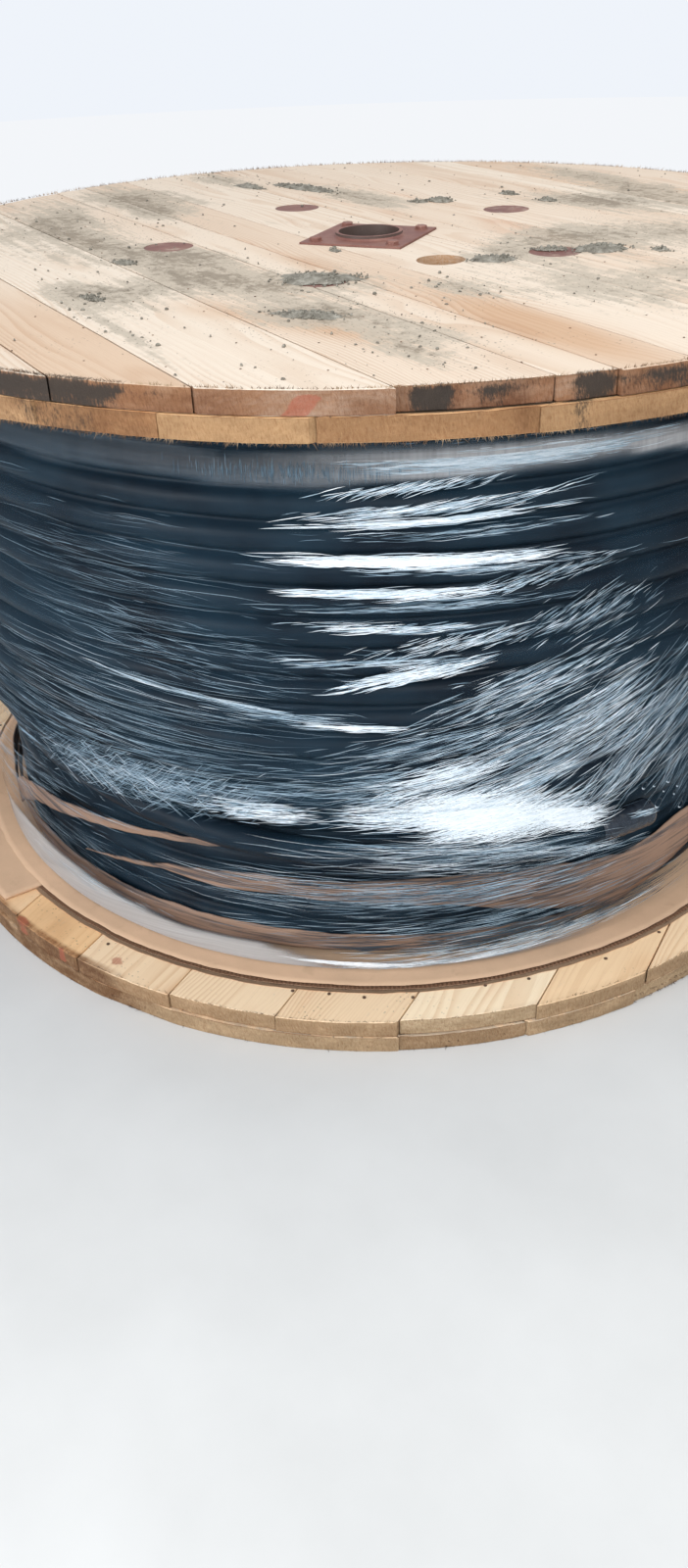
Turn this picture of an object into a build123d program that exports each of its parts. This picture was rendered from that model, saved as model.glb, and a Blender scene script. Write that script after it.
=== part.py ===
from build123d import *
from itertools import cycle
from math import asin, cos, degrees, pi, radians, sin
import os

# Wooden cable drum, wound, packed and standing on its lower flange. Millimetres, +Z up.
# The origin is the middle of the lower flange's outside face. The boards of the upper
# flange's outside layer run along X.

# Flanges: two layers of sawn boards each, nailed crosswise and sawn round together
flange_diameter = 1800.0
board_thickness = 32.0
board_gap = 1.5
narrowest_board = 40.0
traverse = 922.0

# Barrel: flat staves set in a groove in each flange
barrel_diameter = 820.0
stave_thickness = 32.0
stave_count = 24
stave_gap = 1.5
groove_depth = 12.0
groove_clearance = 1.0

# Hub: a square plate with a welded bush at each end
bush_bore = 105.0
bush_wall = 5.5
bush_lip = 7.0
bush_clearance = 1.0
weld_leg = 3.0
plate_side = 182.0
plate_thickness = 5.0
plate_angle = 37.0
plate_clearance = 1.0
upper_plate_depth = 2.5
screw_head_height = 6.5

# Tie bolts: they clamp the flanges on the staves, inside the barrel
bolt_count = 5
bolt_to_stave = 33.0
first_bolt_angle = 28.7
bolt_shank = 20.0
bolt_clearance = 1.0
disc_diameter = 84.0
disc_thickness = 5.0
disc_depth = 6.5
disc_clearance = 0.5
nut_across = 30.0
nut_height = 16.0
bolt_end = 3.0
thread_clearance = 0.3
floor_clearance = 2.0

# Driving holes: one through each flange, for the pin that turns the drum
driving_hole_diameter = 78.0
driving_hole_radius = 240.0
driving_hole_angle = -3.0

# Cable: wound in layers, the outermost one ending part of the way down
cable_diameter = 43.0
winding_diameter = 1594.0
turn_pitch = 46.0
crown_height = 12.0
outer_layer_foot = 390.0
end_height = 279.0
end_rise = 120.0
end_arc = 80.0
end_runs = 10
end_angle = -3.4
cap_wall = 2.5
cap_end_wall = 8.0
cap_length = 90.0
shrink_gap = 0.1
seat_gap = 0.3

# Packing: a corrugated sheet under the winding, a strip round it and stretch film over all
liner_diameter = 1648.0
liner_thickness = 7.0
liner_shift = (5.0, -4.0)
flap_width = 390.0
flap_edge = 145.0
flap_reach = 890.0
strip_thickness = 2.5
strip_foot = 4.0
film_thickness = 2.0
film_foot_diameter = 1574.0
film_break = 262.0

# Boards of each layer, from the hub board outwards: each has its width and how far its
# sawn end stands back from the rim. The hub board is given by its two edges.
TOP_OUTER = {
    "direction": 0.0,
    "hub_board": (-90.0, 87.0),
    "above": ((83, 0), (102, 2), (171, 0), (102, 3), (69, 0), (117, 2), (169, 0)),
    "below": ((101, 0), (74, 5), (174, 7), (188, 0), (123, 2), (150, 0)),
}
TOP_INNER = {
    "direction": 90.0,
    "hub_board": (-64.0, 96.0),
    "above": ((148, 2), (170, 0), (118, 3), (165, 0), (120, 0)),
    "below": ((155, 0), (122, 4), (130, 0), (137, 2), (124, 0), (120, 3), (110, 0)),
}
BOTTOM_INNER = {
    "direction": 121.5,
    "hub_board": (-73.0, 117.0),
    "above": ((168, 0), (126, 4), (175, 0), (150, 2), (164, 0)),
    "below": ((181, 3), (180, 0), (180, 5), (131, 0), (155, 2)),
}
BOTTOM_OUTER = {
    "direction": 31.5,
    "hub_board": (-83.0, 80.0),
    "above": ((152, 0), (124, 3), (178, 0), (105, 2), (160, 0)),
    "below": ((176, 2), (98, 0), (160, 4), (148, 0), (121, 2), (114, 0)),
}

flange_radius = flange_diameter / 2
flange_thickness = 2 * board_thickness
upper_flange = flange_thickness + traverse
height = upper_flange + flange_thickness

barrel_radius = barrel_diameter / 2
stave_corner = barrel_radius / cos(pi / stave_count)
stave_inside = barrel_radius - stave_thickness
bolt_circle_radius = stave_inside - bolt_to_stave

bush_radius = bush_bore / 2 + bush_wall
lower_plate_depth = plate_thickness + max(screw_head_height, bush_lip) + floor_clearance
nut_depth = disc_thickness + nut_height + bolt_end + floor_clearance

winding_foot = flange_thickness + liner_thickness
winding_radius = winding_diameter / 2
winding_bore = stave_corner + seat_gap
cable_radius = cable_diameter / 2
cap_radius = cable_radius + shrink_gap + cap_wall
cap_reach = cap_length + cap_end_wall
end_radius = ((winding_radius - cap_radius) ** 2 - cap_reach**2) ** 0.5
deep_radius = end_radius - cap_radius - seat_gap
film_inside = winding_radius + seat_gap


def board_edges(layer):
    """Low edge, high edge and setback of each board, out to the rim on both sides."""
    low, high = layer["hub_board"]
    boards = [(low, high, 0.0)]
    for side, start, rows in ((1, high, layer["above"]), (-1, -low, layer["below"])):
        for width, setback in cycle(rows):
            if start >= flange_radius - narrowest_board:
                break
            end = start + width
            if end > flange_radius - narrowest_board:
                end = flange_radius
            low_edge, high_edge = sorted((side * start, side * end))
            boards.append((low_edge, high_edge, setback))
            start = end
    return sorted(boards)


def on_circle(radius, angles):
    return [(radius * cos(radians(a)), radius * sin(radians(a))) for a in angles]


bolt_angles = [first_bolt_angle + 360.0 * i / bolt_count for i in range(bolt_count)]
bolt_points = on_circle(bolt_circle_radius, bolt_angles)
driving_point = on_circle(driving_hole_radius, [driving_hole_angle])


def board_layer(layer, foot):
    """One layer of boards sawn round, with the holes that pass through every layer."""
    with BuildPart() as boards:
        for low, high, setback in board_edges(layer):
            with BuildSketch(Plane.XY.offset(foot)) as outline:
                Circle(flange_radius - setback)
                with Locations(Location((0, 0, 0), (0, 0, layer["direction"]))):
                    with Locations((0, (low + high) / 2)):
                        Rectangle(flange_diameter, high - low - board_gap, mode=Mode.INTERSECT)
            extrude(amount=board_thickness)
        with BuildSketch(Plane.XY.offset(foot)) as holes:
            Circle(bush_radius + bush_clearance)
            with Locations(*driving_point):
                Circle(driving_hole_diameter / 2)
            with Locations(*bolt_points):
                Circle(bolt_shank / 2 + bolt_clearance)
        extrude(amount=board_thickness, mode=Mode.SUBTRACT)
    return boards.part


def outer_layer(layer, foot, side, plate_depth, bolt_depth):
    """An outside layer: the plate and the ends of the bolts are let into its face."""
    face = foot + board_thickness if side > 0 else foot
    with BuildPart() as boards:
        add(board_layer(layer, foot))
        with BuildSketch(Plane.XY.offset(face)) as recess:
            pocket = plate_side + 2 * plate_clearance
            Rectangle(pocket, pocket, rotation=plate_angle)
        extrude(amount=-side * plate_depth, mode=Mode.SUBTRACT)
        with BuildSketch(Plane.XY.offset(face)) as seats:
            with Locations(*bolt_points):
                Circle(disc_diameter / 2 + disc_clearance)
        extrude(amount=-side * bolt_depth, mode=Mode.SUBTRACT)
    return boards.part


def inner_layer(layer, foot, side):
    """An inside layer: the groove for the staves is cut in the face towards the cable."""
    face = foot + board_thickness if side > 0 else foot
    with BuildPart() as boards:
        add(board_layer(layer, foot))
        with BuildSketch(Plane.XY.offset(face)) as groove:
            Circle(stave_corner + groove_clearance)
            Circle(stave_inside - groove_clearance, mode=Mode.SUBTRACT)
        extrude(amount=-side * groove_depth, mode=Mode.SUBTRACT)
    return boards.part


def hub_plate(level, side):
    """A square plate with a bush welded through it. level is the plate's seat."""
    seat = Plane(origin=(0, 0, level), x_dir=(1, 0, 0), z_dir=(0, 0, side))
    depth = level - upper_flange if side > 0 else flange_thickness - level
    mouth = plate_thickness + bush_lip
    with BuildPart() as plate:
        with BuildSketch(seat) as square:
            Rectangle(plate_side, plate_side, rotation=side * plate_angle)
        extrude(amount=plate_thickness)
        with BuildSketch(seat.offset(mouth)) as bush:
            Circle(bush_radius)
        extrude(amount=-(mouth + depth))
        face = level + side * plate_thickness
        rings = plate.edges().filter_by(GeomType.CIRCLE)
        chamfer(rings.filter_by_position(Axis.Z, face - weld_leg / 2, face + weld_leg / 2), weld_leg)
        with BuildSketch(seat.offset(mouth)) as bore:
            Circle(bush_bore / 2)
        extrude(amount=-(mouth + depth), mode=Mode.SUBTRACT)
    return plate.part


# Upper flange
top_inner_boards = inner_layer(TOP_INNER, upper_flange, -1)
top_inner_boards.label = "top_inner_boards"
top_outer_boards = outer_layer(
    TOP_OUTER, upper_flange + board_thickness, 1, upper_plate_depth, disc_depth
)
top_outer_boards.label = "top_outer_boards"

# Lower flange: everything is let in deep enough to stand clear of the floor
bottom_inner_boards = inner_layer(BOTTOM_INNER, board_thickness, 1)
bottom_inner_boards.label = "bottom_inner_boards"
bottom_outer_boards = outer_layer(BOTTOM_OUTER, 0, -1, lower_plate_depth, nut_depth)
bottom_outer_boards.label = "bottom_outer_boards"

# Barrel
with BuildPart() as barrel_staves:
    with BuildSketch(Plane.XY.offset(flange_thickness - groove_depth)) as stave_ring:
        outer_width = 2 * barrel_radius * sin(pi / stave_count) / cos(pi / stave_count)
        inner_width = outer_width * stave_inside / barrel_radius
        bevel = degrees(asin((outer_width - inner_width) / 2 / stave_thickness))
        with PolarLocations(barrel_radius - stave_thickness / 2, stave_count):
            Trapezoid(
                outer_width - stave_gap, stave_thickness, 90 - bevel, rotation=90
            )
    extrude(amount=traverse + 2 * groove_depth)
barrel_staves.part.label = "barrel_staves"

# Hub plates, one on each flange
with BuildPart() as hub_plates:
    add(hub_plate(height - upper_plate_depth, 1))
    add(hub_plate(lower_plate_depth, -1))
hub_plates.part.label = "hub_plates"

# Tie bolts: each hangs from a broad round head and is drawn up by a nut on a like disc
head_seat = height - disc_depth
nut_seat = nut_depth - disc_thickness
with BuildPart() as tie_bolts:
    with BuildSketch(Plane.XY.offset(head_seat)) as bolt_heads:
        with Locations(*bolt_points):
            Circle(disc_diameter / 2)
    extrude(amount=disc_thickness)
    with BuildSketch(Plane.XY.offset(head_seat)) as bolt_shanks:
        with Locations(*bolt_points):
            Circle(bolt_shank / 2)
    extrude(amount=-(head_seat - nut_seat + nut_height + bolt_end))
tie_bolts.part.label = "tie_bolts"
with BuildPart() as tie_nuts:
    with BuildSketch(Plane.XY.offset(nut_depth)) as nut_discs:
        with Locations(*bolt_points):
            Circle(disc_diameter / 2)
    extrude(amount=-disc_thickness)
    with BuildSketch(Plane.XY.offset(nut_seat)) as nut_outlines:
        with Locations(*bolt_points):
            RegularPolygon(nut_across / 2, 6, major_radius=False)
    extrude(amount=-nut_height)
    with BuildSketch(Plane.XY.offset(nut_depth)) as nut_bores:
        with Locations(*bolt_points):
            Circle(bolt_shank / 2 + thread_clearance)
    extrude(amount=-(disc_thickness + nut_height), mode=Mode.SUBTRACT)
tie_nuts.part.label = "tie_nuts"

# Cable winding: one turned solid, with the crown of each outer turn on its outside
outer_turns = round((upper_flange - outer_layer_foot) / turn_pitch)
turn_height = (upper_flange - outer_layer_foot) / outer_turns
with BuildPart() as cable_winding:
    with BuildSketch(Plane.XZ) as winding_section:
        with BuildLine() as winding_outline:
            Polyline(
                (winding_radius - crown_height, upper_flange),
                (winding_bore, upper_flange),
                (winding_bore, winding_foot),
                (deep_radius, winding_foot),
                (deep_radius, outer_layer_foot),
                (winding_radius - crown_height, outer_layer_foot),
            )
            for turn in range(outer_turns):
                foot = outer_layer_foot + turn * turn_height
                Polyline(
                    (winding_radius - crown_height, foot),
                    (winding_radius, foot + turn_height / 2),
                    (winding_radius - crown_height, foot + turn_height),
                )
        make_face()
    revolve(axis=Axis.Z)
cable_winding.part.label = "cable_winding"

# Cable end: it slants down from the foot of the outermost layer in short straight runs, is
# straight at its tip and wears a shrunk-on cap. end_plane is where the tip begins.
slant = asin(end_rise / end_radius)
outward = Vector(cos(slant), 0, -sin(slant)).rotate(Axis.Z, end_angle)
forward = Vector(0, 1, 0).rotate(Axis.Z, end_angle)
middle = Vector(end_radius * (1 - cos(slant)), 0, end_height + end_rise)
end_centre = middle.rotate(Axis.Z, end_angle)
end_plane = Plane(origin=end_centre + outward * end_radius, x_dir=outward, z_dir=forward)
bend_angles = [radians(end_arc * run / end_runs) for run in range(end_runs + 1)]
bend = [end_centre + (outward * cos(a) - forward * sin(a)) * end_radius for a in bend_angles]
with BuildPart() as cable_end:
    with BuildLine() as cable_route:
        Polyline(end_plane.origin + forward * cap_length, *bend)
    with BuildSketch(end_plane.offset(cap_length)) as cable_section:
        Circle(cable_radius)
    sweep(transition=Transition.RIGHT)
    split(bisect_by=Plane.XY.offset(outer_layer_foot), keep=Keep.BOTTOM)
cable_end.part.label = "cable_end"

with BuildPart() as cable_end_cap:
    with BuildSketch(end_plane) as cap_outline:
        Circle(cap_radius)
    extrude(amount=cap_reach)
    with BuildSketch(end_plane) as cap_hollow:
        Circle(cable_radius + shrink_gap)
    extrude(amount=cap_length, mode=Mode.SUBTRACT)
    chamfer(cable_end_cap.faces().sort_by(Axis.Y)[-1].edges(), cap_end_wall / 2)
cable_end_cap.part.label = "cable_end_cap"

# Corrugated sheet on the lower flange, with a flap out to the flange's edge
with BuildPart() as cardboard_liner:
    with BuildSketch(Plane.XY.offset(flange_thickness)) as liner_outline:
        with Locations(liner_shift):
            Circle(liner_diameter / 2)
        with BuildSketch(mode=Mode.PRIVATE) as flap:
            with Locations((flap_edge - flap_width / 2, -flap_reach / 2)):
                Rectangle(flap_width, flap_reach)
            Circle(flap_reach, mode=Mode.INTERSECT)
        add(flap.sketch)
        Circle(winding_bore, mode=Mode.SUBTRACT)
    extrude(amount=liner_thickness)
cardboard_liner.part.label = "cardboard_liner"

# Cardboard strip round the deeper layer, below the cable's end
strip_top = end_height - cap_radius - strip_foot
with BuildPart() as cardboard_strip:
    with BuildSketch(Plane.XY.offset(winding_foot + strip_foot)) as strip_section:
        Circle(deep_radius + seat_gap + strip_thickness)
        Circle(deep_radius + seat_gap, mode=Mode.SUBTRACT)
    extrude(amount=strip_top - winding_foot - strip_foot)
cardboard_strip.part.label = "cardboard_strip"

# Stretch film round the whole winding, drawn in to the sheet at its foot
with BuildPart() as stretch_film:
    with BuildSketch(Plane.XZ) as film_section:
        with BuildLine() as film_outline:
            film_foot_inside = film_foot_diameter / 2 - film_thickness
            Polyline(
                (film_inside, upper_flange),
                (film_inside, film_break),
                (film_foot_inside, winding_foot),
                (film_foot_inside + film_thickness, winding_foot),
                (film_inside + film_thickness, film_break),
                (film_inside + film_thickness, upper_flange),
                close=True,
            )
        make_face()
    revolve(axis=Axis.Z)
stretch_film.part.label = "stretch_film"

pieces = [
    top_outer_boards,
    top_inner_boards,
    bottom_inner_boards,
    bottom_outer_boards,
    barrel_staves.part,
    hub_plates.part,
    tie_bolts.part,
    tie_nuts.part,
    cable_winding.part,
    cable_end.part,
    cable_end_cap.part,
    cardboard_liner.part,
    cardboard_strip.part,
    stretch_film.part,
]
os.makedirs("parts", exist_ok=True)
for piece in pieces:
    export_step(piece, f"parts/{piece.label}.step")
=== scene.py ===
import math
import random

import bpy
import numpy as np
from mathutils import Matrix, Vector
from mathutils.noise import noise as lump


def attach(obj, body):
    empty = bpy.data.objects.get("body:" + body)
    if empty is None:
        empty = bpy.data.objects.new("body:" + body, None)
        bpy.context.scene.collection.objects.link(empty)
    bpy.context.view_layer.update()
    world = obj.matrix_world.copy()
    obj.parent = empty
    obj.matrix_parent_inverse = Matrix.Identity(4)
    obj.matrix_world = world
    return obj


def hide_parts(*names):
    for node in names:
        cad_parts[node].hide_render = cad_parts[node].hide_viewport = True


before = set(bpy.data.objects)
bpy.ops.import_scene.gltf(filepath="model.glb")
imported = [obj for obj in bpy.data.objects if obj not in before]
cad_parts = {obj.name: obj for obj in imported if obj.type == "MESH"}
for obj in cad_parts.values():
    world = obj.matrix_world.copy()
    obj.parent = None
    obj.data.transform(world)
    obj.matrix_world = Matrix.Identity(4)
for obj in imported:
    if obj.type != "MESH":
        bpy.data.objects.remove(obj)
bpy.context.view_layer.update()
scene = bpy.context.scene

# The stage: a plain pale floor that keeps the drum's shadow, pale light all round, and
# broad soft lamps above and before the drum. The camera stands at eye height and looks
# down on the near side, where the end of the cable is.
camera = bpy.data.objects.new("camera", bpy.data.cameras.new("camera"))
scene.collection.objects.link(camera)
scene.camera = camera
yaw, pitch, roll, turned = -0.0342155, 0.588755, -0.0378534, math.radians(59)
ahead = Vector((math.sin(yaw) * math.cos(pitch), math.cos(yaw) * math.cos(pitch), -math.sin(pitch)))
aside = Vector((math.cos(yaw), -math.sin(yaw), 0))
above = aside.cross(ahead)
right = math.cos(roll) * aside + math.sin(roll) * above
upward = -math.sin(roll) * aside + math.cos(roll) * above
pose = Matrix((right, upward, -ahead)).transposed().to_4x4()
pose.translation = Vector((0, -2.56896, 1.62066)) * 0.9
camera.matrix_world = Matrix.Rotation(turned, 4, "Z") @ pose
camera.data.sensor_width = 36
camera.data.lens = 28.58
camera.data.clip_end = 60
scene.view_settings.view_transform = "Standard"


class Tint:
    """One shader socket: arithmetic on it adds Math nodes, and node() adds any other."""

    def __init__(self, tree, socket=None):
        self.tree = tree
        self.socket = socket

    def node(self, kind, settings, sockets, out=0):
        made = self.tree.nodes.new(kind)
        for name, value in settings.items():
            if name == "stops":
                ramp = made.color_ramp
                while len(ramp.elements) < len(value):
                    ramp.elements.new(0.5)
                for stop, (place, colour) in zip(ramp.elements, value):
                    stop.position = place
                    stop.color = (*colour, 1)
            else:
                setattr(made, name, value)
        for key, value in sockets.items():
            if isinstance(value, Tint):
                self.tree.links.new(value.socket, made.inputs[key])
            else:
                made.inputs[key].default_value = value
        return Tint(self.tree, made.outputs[out])

    def sum(self, operation, *values, clamp=False):
        settings = {"operation": operation, "use_clamp": clamp}
        return self.node("ShaderNodeMath", settings, dict(enumerate(values)))

    def __add__(self, other):
        return self.sum("ADD", self, other)

    def __radd__(self, other):
        return self.sum("ADD", other, self)

    def __sub__(self, other):
        return self.sum("SUBTRACT", self, other)

    def __rsub__(self, other):
        return self.sum("SUBTRACT", other, self)

    def __mul__(self, other):
        return self.sum("MULTIPLY", self, other)

    def __rmul__(self, other):
        return self.sum("MULTIPLY", other, self)

    def __pow__(self, other):
        return self.sum("POWER", self, other)

    def __abs__(self):
        return self.sum("ABSOLUTE", self)

    def between(self, low, high):
        """0 below low, 1 above high and a smooth rise between them."""
        limits = {"Value": self, "From Min": low, "From Max": high}
        return self.node("ShaderNodeMapRange", {"interpolation_type": "SMOOTHSTEP"}, limits)

    def held(self):
        return self.sum("ADD", self, 0.0, clamp=True)

    def times(self, scale):
        """A place stretched by three factors."""
        return self.node("ShaderNodeVectorMath", {"operation": "MULTIPLY"}, {0: self, 1: scale})

    def moved(self, other):
        return self.node("ShaderNodeVectorMath", {"operation": "ADD"}, {0: self, 1: other})

    def part(self, axis):
        return self.node("ShaderNodeSeparateXYZ", {}, {"Vector": self}, out=axis)

    def cloud(self, scale, detail=3.0, rough=0.55, twist=0.0):
        sockets = {"Vector": self, "Scale": scale, "Detail": detail, "Roughness": rough}
        return self.node("ShaderNodeTexNoise", {}, {**sockets, "Distortion": twist})

    def cells(self, scale):
        return self.node("ShaderNodeTexVoronoi", {}, {"Vector": self, "Scale": scale})

    def over(self, under, mask, blend="MIX"):
        """This colour laid over another where the mask is 1."""
        settings = {"data_type": "RGBA", "blend_type": blend}
        return self.node("ShaderNodeMix", settings, {0: mask, 6: under, 7: self}, out=2)

    def ramp(self, *stops):
        return self.node("ShaderNodeValToRGB", {"stops": stops}, {"Fac": self})

    def bumped(self, depth, strength=1.0):
        return self.node("ShaderNodeBump", {}, {"Height": self, "Distance": depth, "Strength": strength})


class Coat(Tint):
    def __init__(self, name):
        self.material = bpy.data.materials.new(name)
        self.material.use_nodes = True
        super().__init__(self.material.node_tree)
        self.shader = self.tree.nodes["Principled BSDF"]
        self.place = self.node("ShaderNodeTexCoord", {}, {}, out=3)
        self.facing = self.node("ShaderNodeNewGeometry", {}, {}, out=1)

    def plain(self, *colour):
        return self.node("ShaderNodeCombineColor", {}, dict(enumerate(colour)))

    def spot(self, x, y, z):
        return self.node("ShaderNodeCombineXYZ", {}, {0: x, 1: y, 2: z})

    def mark(self, name, out=2):
        return self.node("ShaderNodeAttribute", {"attribute_name": name}, {}, out=out)

    def stained(self, under, colour, mask, blend="MIX"):
        """A plain colour laid over another as far as the mask goes."""
        return self.plain(*colour).over(under, mask.held(), blend)

    def finish(self, **values):
        for name, value in values.items():
            socket = self.shader.inputs[name.replace("_", " ")]
            if isinstance(value, Tint):
                self.tree.links.new(value.socket, socket)
            else:
                socket.default_value = value
        return self.material


floor_coat = Coat("pale_floor")
floor_grain = floor_coat.place.cloud(3.0, 5.0)
floor_tone = floor_grain.ramp((0.3, (0.60, 0.60, 0.59)), (0.7, (0.66, 0.66, 0.65)))
bpy.ops.mesh.primitive_circle_add(vertices=96, radius=14, fill_type="NGON", location=(0, 0, 0))
floor = bpy.context.object
floor.name = "floor"
floor.data.materials.append(floor_coat.finish(Base_Color=floor_tone, Roughness=0.9))
span = floor_coat.node("ShaderNodeVectorMath", {"operation": "LENGTH"}, {0: floor_coat.place}, out=1)
straight = floor_coat.node("ShaderNodeLightPath", {}, {})
glow = floor_coat.node("ShaderNodeEmission", {}, {"Color": (0.90, 0.92, 0.95, 1)})
ground = Tint(floor_coat.tree, floor_coat.shader.outputs[0])
fade = span.between(1.7, 4.6) * straight
blend = floor_coat.node("ShaderNodeMixShader", {}, {0: fade, 1: ground, 2: glow})
floor_coat.tree.links.new(blend.socket, floor_coat.tree.nodes["Material Output"].inputs["Surface"])

world = bpy.data.worlds.new("pale_surround")
scene.world = world
world.use_nodes = True
surround = Tint(world.node_tree)
seen_straight = surround.node("ShaderNodeLightPath", {}, {}, out="Is Camera Ray")
seen_through = surround.node("ShaderNodeLightPath", {}, {}, out="Is Transmission Ray")
brightness = 0.62 + surround.sum("MAXIMUM", seen_straight, seen_through) * 0.34
backdrop = world.node_tree.nodes["Background"]
backdrop.inputs["Color"].default_value = (0.90, 0.94, 1.0, 1)
world.node_tree.links.new(brightness.socket, backdrop.inputs["Strength"])

for name, power, size, place, aim, colour in (
    ("lamp_above", 66, (3.0, 3.0), (0.4, 0.6, 4.2), (0, 0, 1.0), (1.0, 0.97, 0.92)),
    ("lamp_near", 62, (2.6, 1.6), (3.4, -0.9, 2.5), (0.5, -0.2, 0.6), (0.93, 0.97, 1.0)),
    ("lamp_left", 84, (2.0, 1.6), (0.9, -4.0, 1.7), (0, 0, 0.4), (0.95, 0.97, 1.0)),
):
    light = bpy.data.lights.new(name, "AREA")
    light.energy = power
    light.shape = "RECTANGLE"
    light.size, light.size_y = size
    light.color = colour
    lamp = bpy.data.objects.new(name, light)
    scene.collection.objects.link(lamp)
    lamp.location = place
    lamp.rotation_euler = (Vector(aim) - Vector(place)).to_track_quat("-Z", "Y").to_euler()

# Flange boards: each flange is two layers of sawn pine, laid crosswise and nailed, then
# sawn round, so the ends at the rim are torn and hairy. The upper face lay under soil
# and is smeared grey; the rims have mould, and some boards are tan, others nearly white.
# The rims also carry painted shade: near-black in the gaps between the layers' boards,
# and darker where boards stand back and on the left of the near side.
rim_radius = 0.9
board_gap = 0.0024
arris = 0.0011
# In millimetres: where the seams run from the axis, and how far each board's ends stand in
# from the rim. Then how tan each board is.
layers = {
    "top_outer_boards": {
        "turn": 0.0,
        "height": (1.018, 1.050),
        "edges": (-900, -750, -627, -439, -265, -191, -90, 87, 170, 272, 443, 545, 614, 731, 900),
        "back": (0, 2, 0, 10, 7, 0, 0, 0, 2, 0, 3, 0, 2, 0),
        "tan": (0.1, 0.75, 0.05, 0.1, 0.15, 0.3, 0.0, 0.05, 0.1, 0.05, 0.2, 0.1, 0.5, 0.1),
    },
    "top_inner_boards": {
        "turn": 90.0,
        "height": (0.986, 1.018),
        "edges": (-900, -852, -732, -608, -471, -341, -219, -64, 96, 244, 414, 532, 697, 817, 900),
        "back": (0, 3, 0, 2, 0, 4, 0, 0, 2, 0, 3, 0, 0, 0),
        "tan": (0.9, 0.8, 0.95, 0.8, 0.7, 0.9, 0.8, 0.7, 0.9, 0.8, 0.9, 0.7, 0.8, 0.8),
    },
    "bottom_inner_boards": {
        "turn": 121.5,
        "height": (0.032, 0.064),
        "edges": (-900, -745, -614, -434, -254, -73, 117, 285, 411, 586, 736, 900),
        "back": (2, 0, 5, 0, 3, 0, 0, 4, 0, 2, 0),
        "tan": (0.3, 0.45, 0.12, 0.22, 0.15, 0.18, 0.75, 0.5, 0.85, 0.6, 0.3),
    },
    "bottom_outer_boards": {
        "turn": 31.5,
        "height": (0.0, 0.032),
        "edges": (-900, -786, -665, -517, -357, -259, -83, 80, 232, 356, 534, 639, 799, 900),
        "back": (0, 2, 0, 4, 0, 2, 0, 0, 3, 0, 2, 0, 0),
        "tan": (0.8, 0.6, 0.7, 0.8, 0.6, 0.7, 0.7, 0.8, 0.6, 0.7, 0.8, 0.7, 0.8),
    },
}


def settle(name, verts, faces, material, smooth=True):
    """A new piece from its points in metres."""
    mesh = bpy.data.meshes.new(name)
    mesh.from_pydata([tuple(v) for v in verts], [], [tuple(f) for f in faces])
    mesh.validate()
    piece = bpy.data.objects.new(name, mesh)
    scene.collection.objects.link(piece)
    mesh.materials.append(material)
    mesh.polygons.foreach_set("use_smooth", [smooth] * len(mesh.polygons))
    return piece


def enter(piece, node=None):
    """Hides the carried-over solid that the piece stands for, if one is given, and fixes the piece to the
    drum.
    """
    if node:
        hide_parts(node)
    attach(piece, "root")


def points(piece):
    flat = np.zeros(len(piece.data.vertices) * 3)
    piece.data.vertices.foreach_get("co", flat)
    return flat.reshape(-1, 3)


def spread(piece, name, values):
    """Keeps one number or vector per point of a piece, for its material to read."""
    values = np.asarray(values, dtype=np.float32)
    kind = "FLOAT" if values.ndim == 1 else "FLOAT_VECTOR"
    layer = piece.data.attributes.new(name, kind, "POINT")
    layer.data.foreach_set("value" if kind == "FLOAT" else "vector", values.ravel())


def lattice(first, lines, length, then=None, closed=False, flip=False):
    """Faces between lines of points, and on to the line that starts at `then`."""
    starts = [first + i * length for i in range(lines)] + ([] if then is None else [then])
    faces = []
    for a, b in zip(starts, starts[1:]):
        for k in range(length if closed else length - 1):
            m = (k + 1) % length
            quad = (a + k, b + k, b + m, a + m)
            faces.append(quad[::-1] if flip else quad)
    return faces


def bridge(one, two):
    """Faces between two closed rings of points."""
    return [(one[k - 1], one[k], two[k], two[k - 1]) for k in range(len(one))]


def rough(*place):
    """Smooth unevenness between -1 and 1."""
    return lump(Vector(place))


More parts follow.
